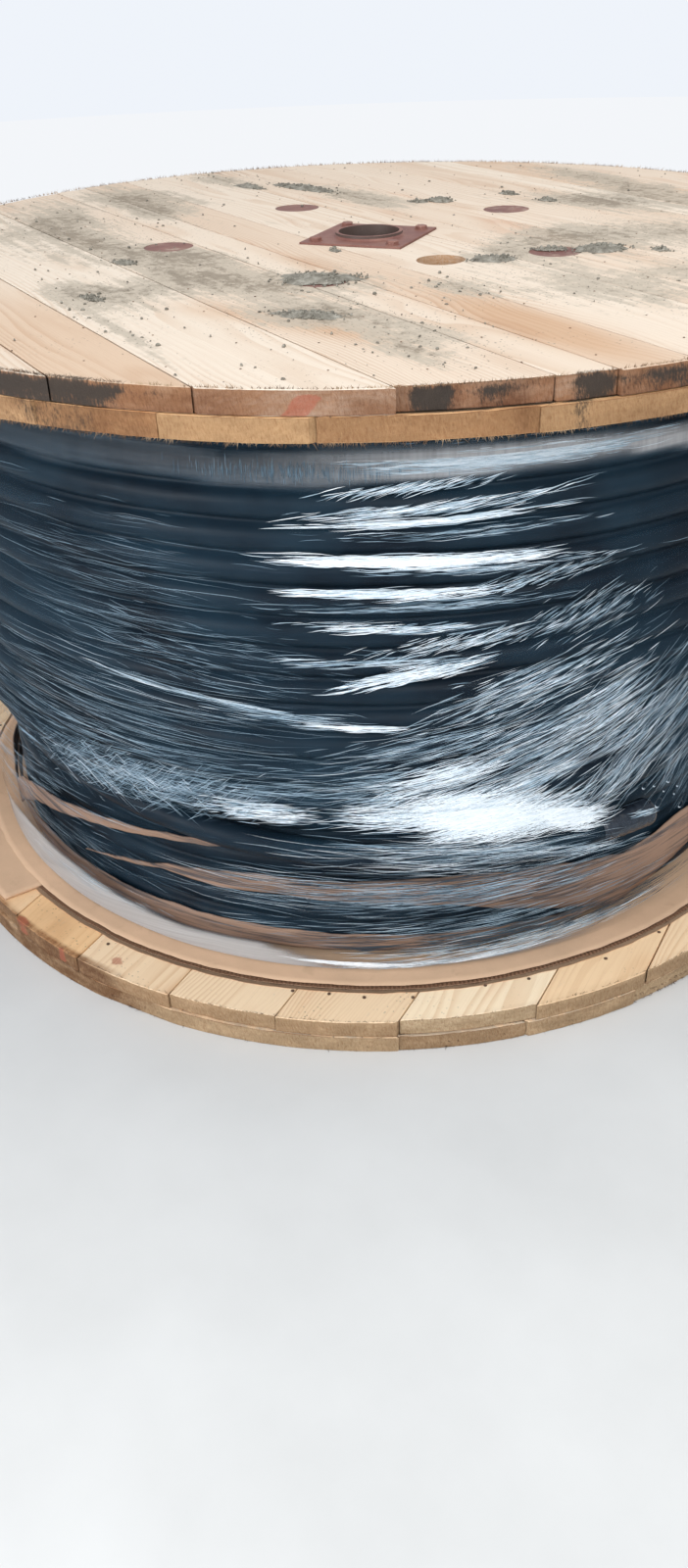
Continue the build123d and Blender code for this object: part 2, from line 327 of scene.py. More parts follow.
def board(verts, faces, low, high, back, height, seed):
    """One board as a closed shell with its arrises taken off and its sawn ends torn."""
    reach = rim_radius - back
    z_low, z_high = height
    thick = z_high - z_low
    rows = max(int((high - low) / 0.0065), 6)
    across = [low + (high - low) * k / rows for k in range(rows + 1)]
    half = math.sqrt(max(reach**2 - min(abs(low), abs(high)) ** 2, 0.01))
    from_end = [0.0, 0.003, 0.008, 0.016, 0.03, 0.05, 0.075]
    while from_end[-1] < half - 0.03:
        from_end.append(from_end[-1] + 0.03)
    share = [1 - d / half for d in from_end if d < half - 0.01]
    share = share + [0.0] + [-s for s in reversed(share)]
    last = len(share) - 1
    first = len(verts)

    def corner(i, j, z, inset):
        at_end = i in (0, last)
        v = across[j] + inset * ((j == 0) - (j == rows))
        v = max(min(v, reach - 0.001), -reach + 0.001)
        u = share[i] * max(math.sqrt(reach**2 - v * v) - inset * at_end, 0.001)
        torn = 0.0
        if at_end:
            torn = 0.0016 * abs(rough(v * 260, z * 300, seed + i))
            torn += 0.0022 * max(rough(v * 40, z * 60, seed + i * 3), 0)
        return (u - math.copysign(min(torn, abs(u)), u), v, z)

    for z, outward in ((z_high, 1), (z_low, -1)):
        for i in range(last + 1):
            for j in range(rows + 1):
                u, v, _ = corner(i, j, z, arris)
                sink = 0.0005 * (1 + rough(u * 9, v * 30, seed)) + 0.0002
                verts.append((u, v, z - outward * sink))
    border = [(i, 0) for i in range(last + 1)] + [(last, j) for j in range(1, rows + 1)]
    border += [(i, rows) for i in range(last - 1, -1, -1)] + [(0, j) for j in range(rows - 1, 0, -1)]
    count = (last + 1) * (rows + 1)
    rings = [[first + i * (rows + 1) + j for i, j in border]]
    for z in (z_high - 0.0015, z_high - thick * 0.35, z_low + thick * 0.3, z_low + 0.0012):
        rings.append([len(verts) + k for k in range(len(border))])
        verts += [corner(i, j, z, 0.0) for i, j in border]
    rings.append([k + count for k in rings[0]])
    faces += lattice(first, last + 1, rows + 1, flip=True)
    faces += lattice(first + count, last + 1, rows + 1)
    for upper, under in zip(rings, rings[1:]):
        faces += bridge(upper, under)


def spun(u, v, degrees):
    a = math.radians(degrees)
    return u * math.cos(a) - v * math.sin(a), u * math.sin(a) + v * math.cos(a)


def ring(x, y, radius, count=40):
    turns = [2 * math.pi * k / count for k in range(count)]
    return [(x + radius * math.cos(a), y + radius * math.sin(a)) for a in turns]


def cutter(shapes, coat):
    """Closed prisms to be taken out of the boards: (outline, low, high)."""
    verts, faces = [], []
    for outline, low, high in shapes:
        first, sides = len(verts), len(outline)
        verts += [(x, y, z) for z in (low, high) for x, y in outline]
        faces += lattice(first, 2, sides, closed=True, flip=True)
        faces += [range(first + sides - 1, first - 1, -1), range(first + sides, first + 2 * sides)]
    return settle("cutter", verts, faces, coat, smooth=False)


hub_hole, drive_hole, bolt_hole, head_hole = 0.0592, 0.039, 0.0112, 0.0426
drive = (0.2397, -0.0126)
bolt_circle, first_bolt = 0.345, 28.7
bolt_places = [spun(bolt_circle, 0, first_bolt + 72 * k) for k in range(5)]
plate_half, plate_angle = 0.0922, 37
quarters = ((1, 1), (-1, 1), (-1, -1), (1, -1))
plate_corners = [spun(plate_half * x, plate_half * y, plate_angle) for x, y in quarters]
heads = [ring(x, y, head_hole) for x, y in bolt_places]
open_top, open_foot = 1.06, -0.01
pockets = {
    "top_outer_boards": [(plate_corners, 1.0474, open_top)] + [(r, 1.0433, open_top) for r in heads],
    "bottom_outer_boards": [(plate_corners, open_foot, 0.0141)] + [(r, open_foot, 0.0262) for r in heads],
}


def lay_boards(name, coat):
    """All boards of a layer as one piece, with the holes cut and each board marked."""
    layer = layers[name]
    verts, faces = [], []
    edges = layer["edges"]
    low, high = layer["height"]
    for k, back in enumerate(layer["back"]):
        limit = rim_radius - back / 1000 - 0.003
        near_edge = max(edges[k] / 1000 + board_gap / 2, -limit)
        far_edge = min(edges[k + 1] / 1000 - board_gap / 2, limit)
        board(verts, faces, near_edge, far_edge, back / 1000, layer["height"], k * 7.3 + layer["turn"])
    verts = [(*spun(u, v, layer["turn"]), z) for u, v, z in verts]
    piece = settle(name.replace("boards", "planks"), verts, faces, coat, smooth=False)
    outlines = [ring(0, 0, hub_hole), ring(*drive, drive_hole)]
    outlines += [ring(x, y, bolt_hole, 20) for x, y in bolt_places]
    holes = [(outline, low - 0.02, high + 0.02) for outline in outlines]
    cutters = [cutter(shapes, coat) for shapes in (pockets.get(name), holes) if shapes]
    for cut in cutters:
        boolean = piece.modifiers.new("holes", "BOOLEAN")
        boolean.operation = "DIFFERENCE"
        boolean.solver = "EXACT"
        boolean.object = cut
    bpy.context.view_layer.update()
    holed = bpy.data.meshes.new_from_object(piece.evaluated_get(bpy.context.evaluated_depsgraph_get()))
    piece.modifiers.clear()
    piece.data = holed
    for cut in cutters:
        bpy.data.objects.remove(cut)
    holed.materials.clear()
    holed.materials.append(coat)
    co = points(piece)
    u, v = spun(co[:, 0], co[:, 1], -layer["turn"])
    index = np.clip(np.searchsorted(edges, v * 1000) - 1, 0, len(edges) - 2)
    chance = np.random.default_rng(int(layer["turn"] * 10) + 5)
    offset = chance.uniform(-3, 3, (len(edges), 3))
    pith = chance.uniform(0.03, 0.11, len(edges)) * chance.choice((-1, 1), len(edges))
    middle = (np.array(edges[:-1]) + np.array(edges[1:])) / 2000
    beside = v - middle[index] + offset[index, 1] * 0.01
    spread(piece, "grain", np.stack([u + offset[index, 0], beside, co[:, 2] - low + pith[index]], 1))
    spread(piece, "luck", chance.uniform(0, 1, len(edges))[index])
    angle = np.degrees(np.arctan2(co[:, 1], co[:, 0]))
    spread(piece, "around", np.radians(angle) * rim_radius)
    spread(piece, "bored", (np.hypot(co[:, 0] - drive[0], co[:, 1] - drive[1]) < 0.041) * 1.0)
    return piece, co, np.array(layer["tan"])[index], angle, np.hypot(co[:, 0], co[:, 1])


def pine(name, fresh, honey):
    """Sawn pine: rings about a pith line that runs along each board, knots and saw marks."""
    coat = Coat(name)
    grain = coat.mark("grain", out=1)
    wander = grain.times((1.3, 3.2, 3.2)).cloud(1.0, 2.0) - 0.5
    ripple = grain.times((7.0, 16.0, 16.0)).cloud(1.0, 3.0) - 0.5
    across = grain.part(1) + wander * 0.15 + ripple * 0.008
    depth = grain.part(2) + wander * 0.03
    reach = (across * across + depth * depth) ** 0.5
    rings = coat.sum("FRACT", reach * 135.0 + grain.times((0.6, 10.0, 10.0)).cloud(1.0, 2.0) * 6.0)
    figure = grain.times((1.6, 8.0, 8.0)).cloud(1.0, 3.0).between(0.36, 0.62)
    late = rings.between(0.30, 0.92) * (1 - rings.between(0.93, 1.0)) * (0.2 + figure * 0.8)
    fibre = grain.times((9.0, 520.0, 520.0)).cloud(1.0, 4.0, 0.6)
    knots = grain.times((2.6, 9.0, 0.6)).cells(1.0)
    knot = 1 - knots.between(0.035, 0.085)
    ringed = knots.between(0.05, 0.16) * (1 - knots.between(0.16, 0.3))
    flush = grain.times((1.5, 6.0, 4.0)).cloud(1.0, 3.0, 0.6).between(0.60, 0.78)
    wood = coat.plain(*honey).over(coat.plain(*fresh), coat.mark("tan"))
    wood = coat.stained(wood, (0.66, 0.46, 0.30), late * 0.42 * coat.mark("ringy"), "MULTIPLY")
    wood = coat.stained(wood, (0.78, 0.68, 0.58), fibre.between(0.52, 0.75) * 0.3, "MULTIPLY")
    wood = coat.stained(wood, (0.86, 0.76, 0.69), coat.mark("luck") * 0.55, "MULTIPLY")
    wood = coat.stained(wood, (0.86, 0.62, 0.50), flush * 0.6, "MULTIPLY")
    wood = coat.stained(wood, (0.33, 0.16, 0.09), knot * 0.8)
    wood = coat.stained(wood, (0.72, 0.55, 0.42), ringed * 0.25, "MULTIPLY")
    return coat, grain, wood, late, fibre, knot


def weathered(name, fresh, honey, torn_wood, mould_and_shade_tone, dusty):
    """Pine with its mould, soil smears and torn ends, and painted shade in gaps and at setbacks."""
    coat, grain, wood, late, fibre, knot = pine(name, fresh, honey)
    place, luck = coat.place, coat.mark("luck")
    upright = 1 - abs(coat.facing.part(2)).between(0.3, 0.6)
    broad = place.cloud(6.0, 7.0, 0.68) - 0.5
    fine = place.cloud(55.0, 5.0, 0.75) - 0.5
    streak = grain.times((5.0, 70.0, 40.0)).cloud(1.0, 4.0, 0.65) - 0.5
    dirt = coat.mark("dirt") * (0.75 + luck * 0.5)
    smear = (dirt * 1.5 + broad * 2.2 + streak * 2.1 + fine * 1.7 - 0.40).between(0.05, 0.75)
    deep = (dirt * 1.2 + broad * 1.6 - streak * 1.2 + fine * 2.6 - 0.85).between(0.0, 0.7)
    mud = coat.plain(0.225, 0.190, 0.145).over(coat.plain(0.475, 0.415, 0.335), deep)
    soiled = mud.over(wood, (smear * dusty).held())
    crumbs = 1 - place.cells(120.0).between(0.10, 0.22)
    speck = crumbs * (place.cloud(7.0, 2.0) - 0.05 + dirt * 0.6).between(0.45, 0.72)
    soiled = coat.stained(soiled, (0.085, 0.073, 0.06), speck * 0.7)

    end_cut = coat.mark("cut") * upright
    around, level = coat.mark("around"), place.part(2)
    combed = coat.spot(around * 420.0 + level * 70.0, level * 120.0, around * 3.0).cloud(1.0, 5.0, 0.75)
    patches = coat.spot(around * 15.0, level * 40.0, luck * 9.0).cloud(1.0, 4.0, 0.65)
    ragged = place.cloud(26.0, 6.0, 0.72) - 0.5
    raw = coat.stained(wood, torn_wood, 0.93 + (patches - 0.5))
    raw = coat.stained(raw, (0.62, 0.48, 0.37), luck * 0.7, "MULTIPLY")
    ended = raw.over(soiled, (end_cut * 0.9).held())
    ended = coat.stained(ended, (0.58, 0.42, 0.29), end_cut * combed.between(0.42, 0.70) * 0.62, "MULTIPLY")
    pulled_out = end_cut * (1 - combed.between(0.30, 0.42)) * 0.45
    ended = coat.stained(ended, [1.5 * c for c in torn_wood], pulled_out)
    # Rim darkening: dirt, and painted shade at the boards' setbacks and on the left of the near side.
    rim_dirt_and_shade_mark = coat.mark("burnt")
    rim_dirt_and_shade_mask = rim_dirt_and_shade_mark * (0.85 + (patches - 0.5) * 1.5 + ragged * 1.1 + (combed - 0.5) * 0.8)
    ended = coat.stained(ended, (0.36, 0.25, 0.18), rim_dirt_and_shade_mask, "MULTIPLY")
    from_seam = coat.sum("MINIMUM", abs(level - 1.018), abs(level - 0.032))
    seam = (1 - from_seam.between(0.0003, 0.0030)) * end_cut
    ended = coat.stained(ended, (0.42, 0.22, 0.14), seam * (0.75 + ragged), "MULTIPLY")
    bored = upright * coat.mark("bored")
    ended = coat.stained(ended, (0.50, 0.27, 0.125), bored * (0.75 + (fibre - 0.5) * 1.5))

    # Mould, and painted shade where the mould mark also covers gaps and setbacks: near-black.
    mould_and_shade_cover = (coat.mark("mould") * 1.30 + ragged * 1.5 + (combed - 0.5) * 1.5 - 0.45).between(0.0, 0.5)
    black = coat.stained(ended, mould_and_shade_tone, mould_and_shade_cover * 0.93)
    flecks = (place.cloud(34.0, 4.0, 0.7) - 0.5) * 1.3
    paint = (coat.mark("red") * 1.5 + flecks - 0.38).between(0.15, 0.5)
    final = coat.stained(black, (0.40, 0.105, 0.060), paint * (0.32 + fibre * 0.6))
    height = late * 0.3 + fibre * 0.9 + combed * end_cut * 2.8 + fine * smear * 1.6 - knot * 0.3
    gloss = 0.66 + smear * 0.22 + mould_and_shade_cover * 0.1
    relief = height.bumped(0.0007, 0.9)
    return coat.finish(Base_Color=final, Roughness=gloss, Normal=relief, Specular_IOR_Level=0.3)


def blot(x, y, cx, cy, rx, ry, turn=0.0):
    """A soft patch: 1 in its middle, 0 well outside its radii."""
    along, beside = spun(x - cx, y - cy, -turn)
    return np.exp(-((along / rx) ** 2) - (beside / ry) ** 2)


def risen(value):
    """A smooth step: 0 well below zero, 1 well above it."""
    return 1 / (1 + np.exp(np.clip(-value, -40, 40)))


def arcs(angle, *patches):
    """Soft patches round the rim, summed: how strong, from and to which angle, how soft."""
    total = 0.0
    for share, start, end, soft in patches:
        away = np.abs((angle - (start + end) / 2 + 180) % 360 - 180)
        total = total + share * risen(((end - start) / 2 - away) / soft * 3)
    return total


def at_rim(radius, start=0.887):
    return np.clip((radius - start) / 0.004, 0, 1)


def dress(name, piece, slot, **marks):
    """Gives a layer the marks that its material reads, each one number or one per point."""
    for mark, values in marks.items():
        spread(piece, mark, np.clip(values + np.zeros(len(piece.data.vertices)), 0, 1))
    enter(piece, name)


# Each set: fresh wood, honey wood, torn ends, and the near-black of mould and painted shade.
pale_tones = ((0.79, 0.70, 0.59), (0.62, 0.43, 0.285), (0.305, 0.132, 0.050), (0.040, 0.033, 0.027))
honey_tones = ((0.86, 0.60, 0.36), (0.74, 0.42, 0.175), (0.385, 0.225, 0.107), (0.055, 0.040, 0.028))
fresh_tones = ((0.98, 0.815, 0.59), (0.90, 0.55, 0.25), (0.48, 0.345, 0.20), (0.085, 0.055, 0.036))
pale_coat = weathered("pale_pine", *pale_tones, 0.85)
honey_coat = weathered("honey_pine", *honey_tones, 0.7)
fresh_coat = weathered("fresh_pine", *fresh_tones, 0.7)

piece, co, tan, angle, radius = lay_boards("top_outer_boards", pale_coat)
x, y, z = co.T
upper_face = (z > 1.046) * 1.0
tan = tan + 0.9 * blot(x, y, 0.66, -0.145, 0.24, 0.055) + 0.35 * blot(x, y, 0.15, -0.20, 0.2, 0.02)
tan = tan - 0.7 * blot(x, y, -0.2, -0.69, 0.25, 0.2)
tan = tan + 0.8 * blot(x, y, 0.50, -0.37, 0.13, 0.035, 15) + 0.5 * blot(x, y, 0.34, -0.45, 0.10, 0.03, 20)
smears = [
    (0.05, -0.37, 0.26, 0.07, 3), (-0.35, -0.40, 0.3, 0.05, 0), (-0.40, -0.50, 0.28, 0.09, 0),
    (0.24, -0.25, 0.12, 0.09, 40), (0.42, -0.35, 0.10, 0.09, 50), (-0.40, 0.20, 0.26, 0.06, 0),
    (-0.75, 0.08, 0.15, 0.05, 0), (0.20, 0.25, 0.12, 0.10, 60), (0.28, 0.10, 0.10, 0.09, 60),
    (0.14, -0.50, 0.10, 0.09, 20), (0.60, -0.27, 0.14, 0.05, 10), (-0.55, -0.33, 0.2, 0.05, 0),
    (-0.02, 0.50, 0.16, 0.07, 20), (0.10, -0.56, 0.14, 0.05, 10), (0.55, 0.05, 0.16, 0.10, 0),
    (0.35, 0.45, 0.2, 0.12, 30), (0.42, -0.10, 0.08, 0.05, 0), (-0.25, 0.70, 0.3, 0.06, 0),
    (0.66, -0.34, 0.12, 0.04, 0), (-0.05, -0.30, 0.14, 0.05, 10), (0.35, -0.60, 0.2, 0.02, 0),
    (-0.66, -0.14, 0.20, 0.10, 0), (-0.52, -0.20, 0.22, 0.05, 0), (0.05, 0.62, 0.30, 0.10, 10),
    (0.62, 0.28, 0.16, 0.12, 20),
]
dirt = sum(0.74 * blot(x, y, *smear) for smear in smears) * upper_face
low_edge = np.clip((z - 1.024) / 0.018, 0, 1)
# Mould round the rims; the narrow arcs at the set-back boards are painted shade.
rim_mould_and_shade = (0.72 + 0.40 * low_edge) * arcs(angle, (1.0, -78, -50.5, 3))
rim_mould_and_shade += low_edge * arcs(angle, (0.4, -51, -45, 2), (0.40, -28.2, -6, 1.5))
rim_mould_and_shade += arcs(
    angle, (0.78, -28.2, -25.2, 0.9), (0.42, -23.4, -20.4, 1.2), (0.66, -15.8, -13.0, 1.0),
    (0.34, -13, -5, 2), (0.42, -5, 4, 3), (0.5, 40, 75, 6), (0.6, 110, 150, 8), (0.5, -160, -120, 8),
)
# Painted shade with dirt: darker brown just after the set-back boards and on the left.
burnt = arcs(
    angle, (0.75, -28.2, -24.6, 0.4), (0.70, -23.2, -19.4, 0.5), (0.45, -15.0, 2, 1.5),
    (0.30, -33.5, -28.3, 0.6), (0.5, -75, -50, 2), (0.45, -49, -41, 2), (0.55, 60, 170, 10),
)
cut = at_rim(radius, 0.882)
painted = cut * arcs(angle + (1.050 - z) * 55, (1.0, -36.0, -34.1, 0.8)) * (1 - upper_face)
dress(
    "top_outer_boards", piece, "board_pale", tan=tan, dirt=dirt, cut=cut,
    mould=rim_mould_and_shade * at_rim(radius, 0.884) * (0.45 + 0.55 * (1 - upper_face)),
    red=painted + 0.42 * blot(x, y, 0.70, -0.47, 0.10, 0.012, 35),
    ringy=0.75 + blot(x, y, 0.62, -0.28, 0.3, 0.12), burnt=burnt * cut * (1 - upper_face),
)

piece, co, tan, angle, radius = lay_boards("top_inner_boards", honey_coat)
cut = at_rim(radius)
mould = arcs(angle, (0.50, -16.5, -14, 0.8), (0.42, -62, -52, 2), (0.45, 100, 130, 6))
burnt = arcs(angle, (0.42, -62, -48, 1.5), (0.30, -20.5, -18.6, 0.5), (0.25, -13, -5, 2)) + 0.16
# Painted shade: the inner layer's top, seen only in the gaps under the outer boards, is made near-black.
painted_gap_shade = (co[:, 2] > 1.0165) * (radius < 0.893)
dress(
    "top_inner_boards", piece, "board_tan", tan=tan * 0.6, dirt=0.1 * cut,
    mould=mould * cut + 0.9 * painted_gap_shade, red=0.0, cut=cut * 0.9, ringy=0.6, burnt=burnt * cut,
)

piece, co, tan, angle, radius = lay_boards("bottom_inner_boards", fresh_coat)
x, y, z = co.T
cut = at_rim(radius)
# Darker towards the top of the rim on the left of the near side.
left_rim_darkening = arcs(angle, (0.30, -78, -55, 5)) * np.clip((z - 0.045) / 0.015, 0, 1)
stains = [
    (0.222, -0.866, 0.024, 0.010, 8), (0.331, -0.836, 0.011, 0.006, 20), (0.412, -0.764, 0.020, 0.009, 55),
]
# Darker brown on the left of the rim and a little all round: dirt and painted shade.
burnt = arcs(angle, (0.95, -110, -61.5, 2.5), (0.12, -30, 5, 5)) + 0.24 * (z < 0.0625)
dress(
    "bottom_inner_boards", piece, "board_pale", tan=tan, dirt=0.12 * np.clip((radius - 0.80) / 0.1, 0, 1),
    mould=cut * (left_rim_darkening + arcs(angle, (0.42, 60, 140, 9))),
    red=sum(0.80 * blot(x, y, *stain) for stain in stains) * (z > 0.040),
    cut=cut, ringy=0.85, burnt=cut * burnt + 0.30 * blot(x, y, 0.25, -0.82, 0.06, 0.05),
)

piece, co, tan, angle, radius = lay_boards("bottom_outer_boards", fresh_coat)
cut = at_rim(radius)
mould = cut * arcs(angle, (0.20, -110, -60, 5), (0.45, 50, 200, 9))
# Painted shade: the outer layer's top, seen only in the gaps under the inner boards, is made near-black.
painted_gap_shade = (co[:, 2] > 0.0305) * (radius < 0.893)
dress(
    "bottom_outer_boards", piece, "board_tan", tan=tan * 0.4, dirt=0.25 * cut + 0.3,
    mould=mould + 0.9 * painted_gap_shade, red=0.0, cut=cut, ringy=0.6,
    burnt=cut * (arcs(angle, (0.80, -110, -58, 4)) + 0.32),
)

# Splinters: the saw tore the fibres along the rims, and they stand out as a dark fringe
# of short hairs. They are part of the boards' own wood.
chance = random.Random(11)
splinters, splinter_faces = [], []
for level, lift, count in (
    (1.0496, 1.2, 3800), (0.9872, -1.3, 3600), (0.0635, 0.9, 1600), (0.004, -0.2, 2200),
    (0.016, -0.7, 1500),
):
    for _ in range(count):
        a = chance.uniform(0, 2 * math.pi)
        length = chance.uniform(0.0025, 0.0075) * (1.5 if chance.random() < 0.1 else 1)
        width = chance.uniform(0.0003, 0.0009)
        radius = rim_radius - 0.0025 - chance.uniform(0, 0.002)
        lean = chance.uniform(-0.9, 0.9)
        out = Vector((math.cos(a), math.sin(a), 0))
        side = Vector((-math.sin(a), math.cos(a), 0))
        root = out * radius + Vector((0, 0, level - abs(lift) * 0.0006))
        aim = out * chance.uniform(0.1, 0.7) + side * lean
        aim.z += lift * chance.uniform(0.25, 1.0)
        tip = root + aim.normalized() * length
        tip.x = max(min(tip.x, 0.8995), -0.8995)
        tip.y = max(min(tip.y, 0.8995), -0.8995)
        tip.z = max(min(tip.z, 1.0565), 0.0012)
        s = len(splinters)
        splinters += [root - side * width, root + side * width, root - out * width * 1.4, tip]
        splinter_faces += [(s, s + 1, s + 3), (s + 1, s + 2, s + 3), (s + 2, s, s + 3)]
splinter_coat = Coat("splinter_wood")
splinter_tone = splinter_coat.place.cloud(14.0, 3.0).ramp(
    (0.34, (0.10, 0.062, 0.038)), (0.50, (0.27, 0.155, 0.085)), (0.66, (0.56, 0.40, 0.25))
)
splinter_wood = splinter_coat.finish(Base_Color=splinter_tone, Roughness=0.85)
enter(settle("rim_splinters", splinters, splinter_faces, splinter_wood))

# Barrel: flat pine staves stood on end in a groove of each flange and held by the bolts.
# They are closed in by the cable, so only their sawn faces have to be right.
stave_coat = Coat("stave_pine")
stave_grain = stave_coat.place.times((60.0, 60.0, 1.6)).cloud(1.0, 4.0, 0.6)
stave_tone = stave_grain.ramp(
    (0.35, (0.55, 0.38, 0.22)), (0.55, (0.70, 0.52, 0.33)), (0.7, (0.76, 0.60, 0.41))
)


def give(node, material):
    """A carried-over solid gets its finish."""
    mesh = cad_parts[node].data
    mesh.materials.clear()
    mesh.materials.append(material)


stave_relief = stave_grain.bumped(0.0008)
give("barrel_staves", stave_coat.finish(Base_Color=stave_tone, Roughness=0.75, Normal=stave_relief))


# Steelwork: a square plate with a welded bush at each hub, and five tie bolts whose broad
# heads are let into the boards. All of it is painted with red-brown primer, scraped pale in
# places and dusted with dry soil. Four coach screws hold each plate near its corners.
def primer(name, dusting):
    coat = Coat(name)
    place, level = coat.place, coat.facing.part(2)
    body = place.cloud(18.0, 5.0, 0.6).ramp(
        (0.3, (0.150, 0.054, 0.044)), (0.5, (0.205, 0.082, 0.062)), (0.72, (0.27, 0.125, 0.092))
    )
    dust = (place.cloud(30.0, 5.0, 0.7) - 0.5 + dusting).between(0.0, 0.22) * level.between(0.5, 0.95)
    scrape = place.times((1.0, 3.0, 1.0)).cloud(120.0, 3.0, 0.6).between(0.66, 0.72)
    # Painted shade: the wall of the bush's bore is darkened almost to black.
    from_axis = (place.part(0) * place.part(0) + place.part(1) * place.part(1)) ** 0.5
    bore_shade = (1 - from_axis.between(0.0585, 0.0595)) * (1 - abs(level).between(0.4, 0.7))
    worn = coat.stained(body, (0.50, 0.42, 0.34), dust * 0.75)
    worn = coat.stained(worn, (0.56, 0.36, 0.28), scrape * 0.6)
    worn = coat.stained(worn, (0.075, 0.062, 0.052), bore_shade * 0.8)
    pits = place.cloud(260.0, 3.0).bumped(0.0003, 0.7)
    return coat.finish(Base_Color=worn, Roughness=0.5 + dust * 0.3, Normal=pits)


def stud(verts, faces, x, y, level, direction, across, steps, sides, turn=0.0):
    """A screw or nail head built up in rings, each with its share of the width and its height."""
    first = len(verts)
    for share, up in steps:
        for k in range(sides):
            a = 2 * math.pi * k / sides + turn
            reach = across * share
            verts.append((x + reach * math.cos(a), y + reach * math.sin(a), level + direction * up))
    faces += lattice(first, len(steps), sides, closed=True, flip=direction > 0)
    cap = range(len(verts) - sides, len(verts))
    faces.append(cap if direction > 0 else cap[::-1])


give("hub_plates", primer("primer_plate", -0.10))
give("tie_bolts", primer("primer_bolt", -0.02))
give("tie_nuts", primer("primer_nut", -0.04))
screw_verts, screw_faces = [], []
screw_steps = ((1.18, 0.0), (1.18, 0.0009), (1.0, 0.0011), (1.0, 0.004836), (0.82, 0.0062))
screw_half, screw_place = 0.0105, 0.07
for x, y in quarters:
    x, y = spun(screw_place * x, screw_place * y, plate_angle)
    for level, direction in ((1.0525, 1), (0.0090, -1)):
        stud(screw_verts, screw_faces, x, y, level, direction, screw_half, screw_steps, 6, x * 7)
screw_coat = primer("primer_screw", 0.0)
enter(settle("hub_screws", screw_verts, screw_faces, screw_coat, smooth=False))

# Cable: heavy power cable with a navy-black plastic sheath, wound in close turns. The
# outermost layer stops part of the way down, where the layer below it shows.
pitch, turn_radius, columns = 0.0458, 0.0215, 400
bore_radius, deep_crown, outer_crown = 0.4145, 0.744, 0.797
winding_low, deep_top, outer_foot, winding_high = 0.0715, 0.392, 0.390, 0.9855
end_start, end_sweep = -83.4, 80


def at(a, r, z):
    return (r * math.cos(a), r * math.sin(a), z)


def uneven(a, scale, seed):
    """Unevenness that closes on itself round the drum."""
    return rough(scale * math.cos(a), scale * math.sin(a), seed)


def turns(verts, faces, foot, top, crown, start_angle):
    """The outside of one layer as a screw of round turns; gives its lowest and highest ring."""
    first, rows = len(verts), int((top - foot) / pitch * 12)
    for i in range(columns):
        a = 2 * math.pi * i / columns
        for j in range(rows + 1):
            z = foot + (top - foot) * j / rows
            wound = (z - foot) / pitch + (a - math.radians(start_angle)) / (2 * math.pi)
            off = (wound % 1.0 - 0.5) * pitch
            r = crown - turn_radius + math.sqrt(turn_radius**2 - min(abs(off), 0.02) ** 2)
            r -= max(abs(off) - 0.02, 0) * 2.2
            r += 0.0009 * uneven(a, 3, round(wound - wound % 1.0) * 3.1) - 0.001
            verts.append(at(a, r, z))
    faces += lattice(first, columns, rows + 1, then=first)
    return [[first + i * (rows + 1) + row for i in range(columns)] for row in (0, rows)]


def sheath(name):
    coat = Coat(name)
    long_scuff = coat.place.times((7.0, 7.0, 150.0)).cloud(1.0, 4.0, 0.65)
    tone = coat.place.cloud(6.0, 3.0).ramp((0.35, (0.005, 0.010, 0.017)), (0.65, (0.011, 0.026, 0.041)))
    scuffed = coat.stained(tone, (0.040, 0.062, 0.088), long_scuff.between(0.60, 0.76) * 0.5)
    gloss, relief = 0.34 + long_scuff * 0.2, long_scuff.bumped(0.0006)
    return coat.finish(Base_Color=scuffed, Roughness=gloss, Normal=relief, Specular_IOR_Level=0.12)


verts, faces = [], []
outer_low, outer_high = turns(verts, faces, outer_foot, winding_high, outer_crown, end_start)
deep_low, deep_high = turns(verts, faces, winding_low, deep_top, deep_crown, 20)
bore_high, bore_low = [[len(verts) + side * columns + k for k in range(columns)] for side in (0, 1)]
for level in (winding_high, winding_low):
    verts += [at(2 * math.pi * k / columns, bore_radius, level) for k in range(columns)]
faces += bridge(deep_high, outer_low) + bridge(outer_high, bore_high)
faces += bridge(bore_low, deep_low) + bridge(bore_low, bore_high)
enter(settle("wound_cable", verts, faces, sheath("cable_plastic")), "cable_winding")

# Cable end: the last turn leaves the outer layer and slants down to the near side, where
# a heat-shrunk cap closes it. It is held against the drum by the film alone.
end_path, end_reach, end_radius = [], 0.7735, 0.0213
for k in range(49):
    t = k / 48
    drop = 0.120 * math.cos(math.radians(end_sweep * (1 - t)))
    level = 0.399 - drop + 0.030 * max(1 - t / 0.4, 0) ** 2
    end_path.append(Vector(at(math.radians(end_start + end_sweep * t), end_reach, level)))


def tube(path, radii, sides=20):
    """A round skin along a path, closed at both ends."""
    verts = []
    for k, p in enumerate(path):
        onward = (path[min(k + 1, len(path) - 1)] - path[max(k - 1, 0)]).normalized()
        beside = onward.cross(Vector((0, 0, 1))).normalized()
        over_it = beside.cross(onward)
        for s in range(sides):
            a = 2 * math.pi * s / sides
            verts.append(p + (beside * math.cos(a) + over_it * math.sin(a)) * radii[k])
    faces = lattice(0, len(path), sides, closed=True)
    return verts, faces + [range(sides), range(len(verts) - sides, len(verts))[::-1]]


end_coat = sheath("cable_plastic_end")
cable_end = settle("cable_end_run", *tube(end_path, [end_radius] * len(end_path)), end_coat)
enter(cable_end, "cable_end")

